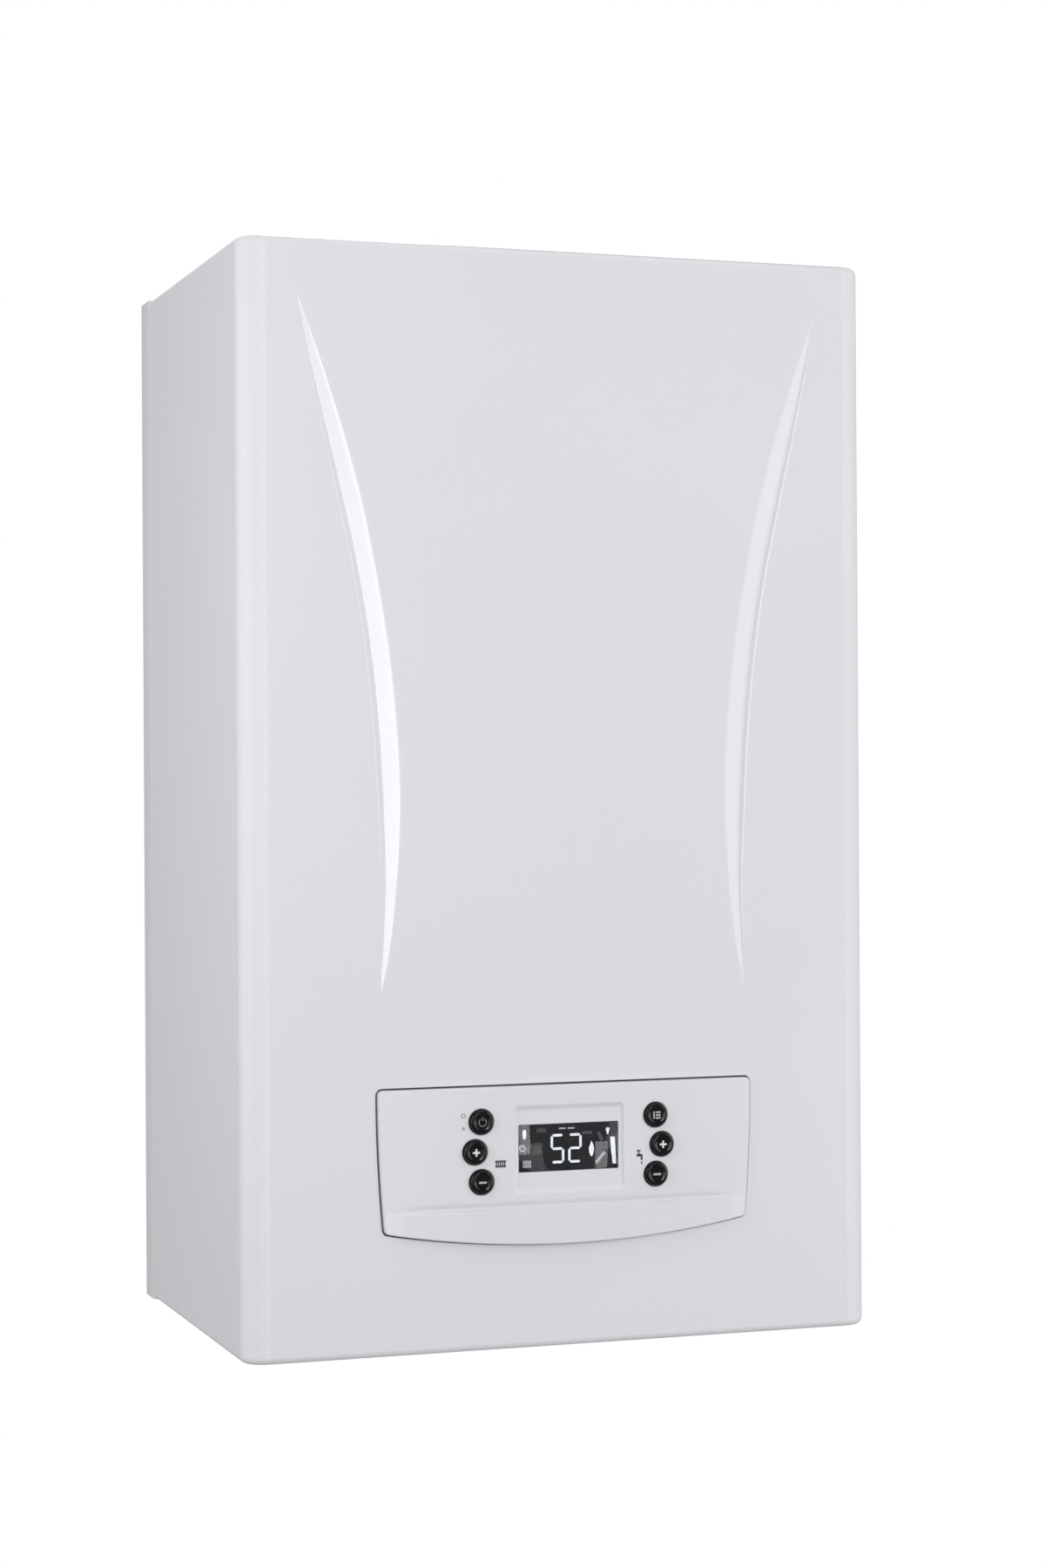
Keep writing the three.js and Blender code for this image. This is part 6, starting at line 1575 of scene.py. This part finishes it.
# ------------------------------------------------------------------ control box and boards
def make_controls_rear():
    p = Part()
    hole = rrect(-116, 116, 70, 156, 5, 5)
    p.add(tray(rrect(-150, 150, 52, 176, 7, 6), rrect(-147.5, 147.5, 54.5, 173.5, 4.5, 6), [hole], -136.3, -133.8, -78, "y", 1.0, 3), 0)
    for s in (-1, 1):
        for z in (74, 94, 114, 134, 154):
            p.add(block(*sorted((s * 147, s * 149.9)), -130, -84, z - 1, z + 1, 0.4, 1), 0)
        # hinge ears for the service position
        p.add(lathe([(0, s * 146), (6.4, s * 146), (6.4, s * 149.6), (0, s * 149.6)], (0, -118, 62), "x", 28), 0)
    for x in (-133, 133):
        for z in (62, 166):
            p.add(lathe([(0, -136.1), (4.2, -136.1), (4.2, -136.25), (0, -136.25)], (x, 0, z), "y", 24), 0)
            screw(p, x, z, -135.8, "y", -1, 2.6, 1, 0.2)
    p.piece("control_box_moulding", [M["box_grey"], M["zinc_screw"]], ROOT, "control_box", "box_grey", 30)

    c = Part()
    c.add(prism(rrect(-150, 150, 52, 176, 7, 6), -77.7, -75.5, "y", 0.6), 0)
    for x in (-144, 144):
        c.add(block(x - 2, x + 2, -83, -77, 90, 138, 0.5), 0)
    for k in range(-5, 6):
        c.add(block(k * 14 - 3.4, k * 14 + 3.4, -76, -74.7, 150, 168, 0.6), 1)
    for z in (70, 90, 110, 130):
        c.add(block(-120, 120, -76, -74.6, z - 1.2, z + 1.2, 0.6), 0)
    for x in (-142, 0, 142):
        for z in (59, 169):
            if x or z < 100:
                screw(c, x, z, -75.5, "y", 1, 2.8, 2, 0.5)
    c.piece("control_box_cover_ribbed", [M["box_grey"], M["chip_black"], M["zinc_screw"]], ROOT, "control_box_cover", "box_grey", 30)

    b = Part()
    holes = [circle(x, z, 2.0, 16) for x in (-132, 132) for z in (64, 164)]
    b.add(plate(rrect(-138, 138, 58, 170, 3, 4), holes, -95.6, -94, "y", 0.1, 1), 0)
    b.add(block(-128, -92, -120, -95, 66, 100, 0.8), 1)                       # transformer
    b.add(block(-124, -96, -121 + 1, -95, 70, 96, 0.6), 2)
    for x in (-82, -60, -38):
        b.add(block(x, x + 16, -112, -95, 66, 92, 0.9), 3)                    # relays
    b.add(lathe([(0, -95), (9, -95), (9, -120.4), (8.2, -121.4), (0, -121.4)], (10, 0, 80), "y", 36), 1)
    b.add(ring(5, 8.6, -122, -121, (10, 0, 80), "y", 36, 0.2), 4)
    b.add(block(40, 100, -106, -95, 120, 132, 0.5), 2)
    for i in range(10):
        b.add(block(43 + 5.6 * i, 46.4 + 5.6 * i, -106.2, -104, 122.5, 129.5, 0.2, 1), 1)
    b.add(block(90, 128, -110, -95, 62, 90, 0.6), 2)
    for i in range(5):
        b.add(block(93 + 7 * i, 97 + 7 * i, -110.3, -108, 66, 78, 0.3, 1), 1)
    b.add(block(-20, 12, -97.4, -95, 124, 146, 0.3), 1)                       # processor
    for i in range(12):
        for z in (122.6, 146):
            b.add(block(-18.6 + 2.5 * i, -17.6 + 2.5 * i, -96.4, -95.4, z, z + 1.6, 0.1, 1), 4)
    for i, (x, z) in enumerate([(-120, 130), (-112, 130), (-104, 130), (-96, 130), (30, 100), (38, 100), (46, 100), (60, 150), (68, 150), (76, 150), (-60, 120), (-52, 120)]):
        b.add(tube([(x, -97, z - 4), (x, -97, z + 4)], 1.3, 12), 5 if i % 3 else 1)
        b.add(tube([(x, -97, z - 7), (x, -97, z + 7)], 0.35, 8), 4)
    for x, z, rad, h in ((-70, 150, 5, 14), (-56, 150, 5, 14), (110, 110, 6.5, 18), (60, 70, 4, 10), (70, 70, 4, 10)):
        b.add(lathe([(0, -95), (rad, -95), (rad, -95 - h + 1), (rad - 0.6, -95 - h), (0, -95 - h)], (x, 0, z), "y", 28), 1)
        b.add(disc(rad * 0.8, -95.2 - h, -95 - h + 0.3, (x, 0, z), "y", 24, 0.1), 4)
    b.piece("main_board_populated", [M["circuit_board"], M["chip_black"], M["connector_white"], M["relay_blue"], M["nickel"], M["ceramic_white"]], ROOT, "main_board", "circuit_board", 30)

    d = Part()
    d.add(plate(rrect(-78, 78, 90, 152, 2, 4), [circle(x, z, 1.6, 14) for x in (-73, 73) for z in (95, 147)], -136, -134.4, "y", 0.1, 1), 0)
    for x, z in BUTTONS.values():
        d.add(block(x - 3, x + 3, -134.6, -133.6, z - 3, z + 3, 0.2, 1), 1)
    d.add(block(-28, 8, -134.6, -132.2, 96, 101, 0.3), 2)
    for i in range(8):
        d.add(block(-30 + 8 * i, -26 + 8 * i, -134.6, -133.4, 145.4, 148, 0.2, 1), 1)
    d.piece("display_board_populated", [M["circuit_board"], M["chip_black"], M["connector_white"]], ROOT, "display_board", "circuit_board", 30)


for build in (make_frame, make_bracket, make_plates, make_flue, make_core, make_air, make_vessel, make_manifolds, make_plate_exchanger, make_pump, make_valves, make_trap,
              make_stubs, make_casing_screws, make_controls_rear):
    build()


# ------------------------------------------------------------------ finishes of the CAD nodes that stay
SLOT_OF = {p["node"]: p["material_slot"] for p in frame["record"]["subparts"]}
for name, ob in frame["nodes"].items():
    me = ob.data
    me.materials.clear()
    me.materials.append(M[SLOT_OF[name]])
    bm = bmesh.new()
    bm.from_mesh(me)
    sharp = [len(e.link_faces) != 2 or e.calc_face_angle(0) > math.radians(32) for e in bm.edges]
    bm.free()
    me.shade_smooth()
    attr = me.attributes.get("sharp_edge") or me.attributes.new("sharp_edge", "BOOLEAN", "EDGE")
    attr.data.foreach_set("value", sharp)


# ------------------------------------------------------------------ floor, light and backdrop
def make_stage():
    floor = Part()
    floor.add(lathe([(0, -2800), (3600, -2800), (3600, -2810), (0, -2810)], (0, 0, 0), "z", 64))
    me = bpy.data.meshes.new("floor")
    me.from_pydata([tuple(p * MM) for p in np.concatenate(floor.v)], [], floor.f)
    me.materials.append(material("studio_floor", (0.80, 0.80, 0.80), 0.7, tint=0.01, tint_scale=2, grain=40, bump=0.02))
    ob = bpy.data.objects.new("floor", me)
    scene.collection.objects.link(ob)


def softbox(name, az, el, dist, w, h, power, target=(0, -0.05, 0.34), color=(1, 1, 1), spread=180):
    """A rectangular light at an azimuth (0 in front, + to the right) and elevation, aimed at the boiler."""
    a, e = math.radians(az), math.radians(el)
    t = Vector(target)
    d = Vector((math.sin(a) * math.cos(e), -math.cos(a) * math.cos(e), math.sin(e)))
    light = bpy.data.lights.new(name, "AREA")
    light.shape = "RECTANGLE"
    light.size, light.size_y = w, h
    light.energy = power
    light.color = color
    light.spread = math.radians(spread)
    ob = bpy.data.objects.new(name, light)
    ob.location = t + d * dist
    ob.rotation_mode = "QUATERNION"
    ob.rotation_quaternion = (-d).to_track_quat("-Z", "Y")
    scene.collection.objects.link(ob)
    ob.visible_camera = False
    return ob


def make_world(ambient=0.5):
    world = bpy.data.worlds.new("studio")
    scene.world = world
    world.use_nodes = True
    nt = world.node_tree
    nt.nodes.clear()
    new = nt.nodes.new
    out, mix, lp = new("ShaderNodeOutputWorld"), new("ShaderNodeMixShader"), new("ShaderNodeLightPath")
    cam, amb = new("ShaderNodeBackground"), new("ShaderNodeBackground")
    cam.inputs["Color"].default_value = (1, 1, 1, 1)
    cam.inputs["Strength"].default_value = 1.0
    amb.inputs["Color"].default_value = (1, 1, 1, 1)
    amb.inputs["Strength"].default_value = ambient
    nt.links.new(lp.outputs["Is Camera Ray"], mix.inputs[0])
    nt.links.new(amb.outputs[0], mix.inputs[1])
    nt.links.new(cam.outputs[0], mix.inputs[2])
    nt.links.new(mix.outputs[0], out.inputs[0])


make_stage()
make_world(0.322)
LIGHTS = [
    softbox("key_right", 50, 5, 2.2, 1.0, 1.9, 14.2),
    softbox("front_left", -2.5, 5, 2.4, 0.35, 1.9, 18.8),
    softbox("side_left", -80, 6, 2.2, 1.0, 1.9, 6.8),
    softbox("side_far_left", -100, 6, 2.2, 1.2, 1.9, 8.5),
    softbox("top", 0, 80, 1.7, 1.5, 1.2, 5.5),
    softbox("near_left", -62, 6, 0.60, 0.12, 0.60, 1.05, target=(-0.205, -0.13, 0.40)),
    softbox("near_up", 15, 38, 1.15, 0.8, 0.4, 0.30, target=(0, -0.14, 0.54)),
    softbox("low_right", 40, 3, 0.85, 0.30, 0.20, 0.35, target=(0.14, -0.14, 0.02)),
    softbox("right_side", 105, 8, 2.4, 0.8, 1.9, 3.0),
    softbox("rear", 180, 48, 2.4, 1.2, 0.8, 11.0),
]
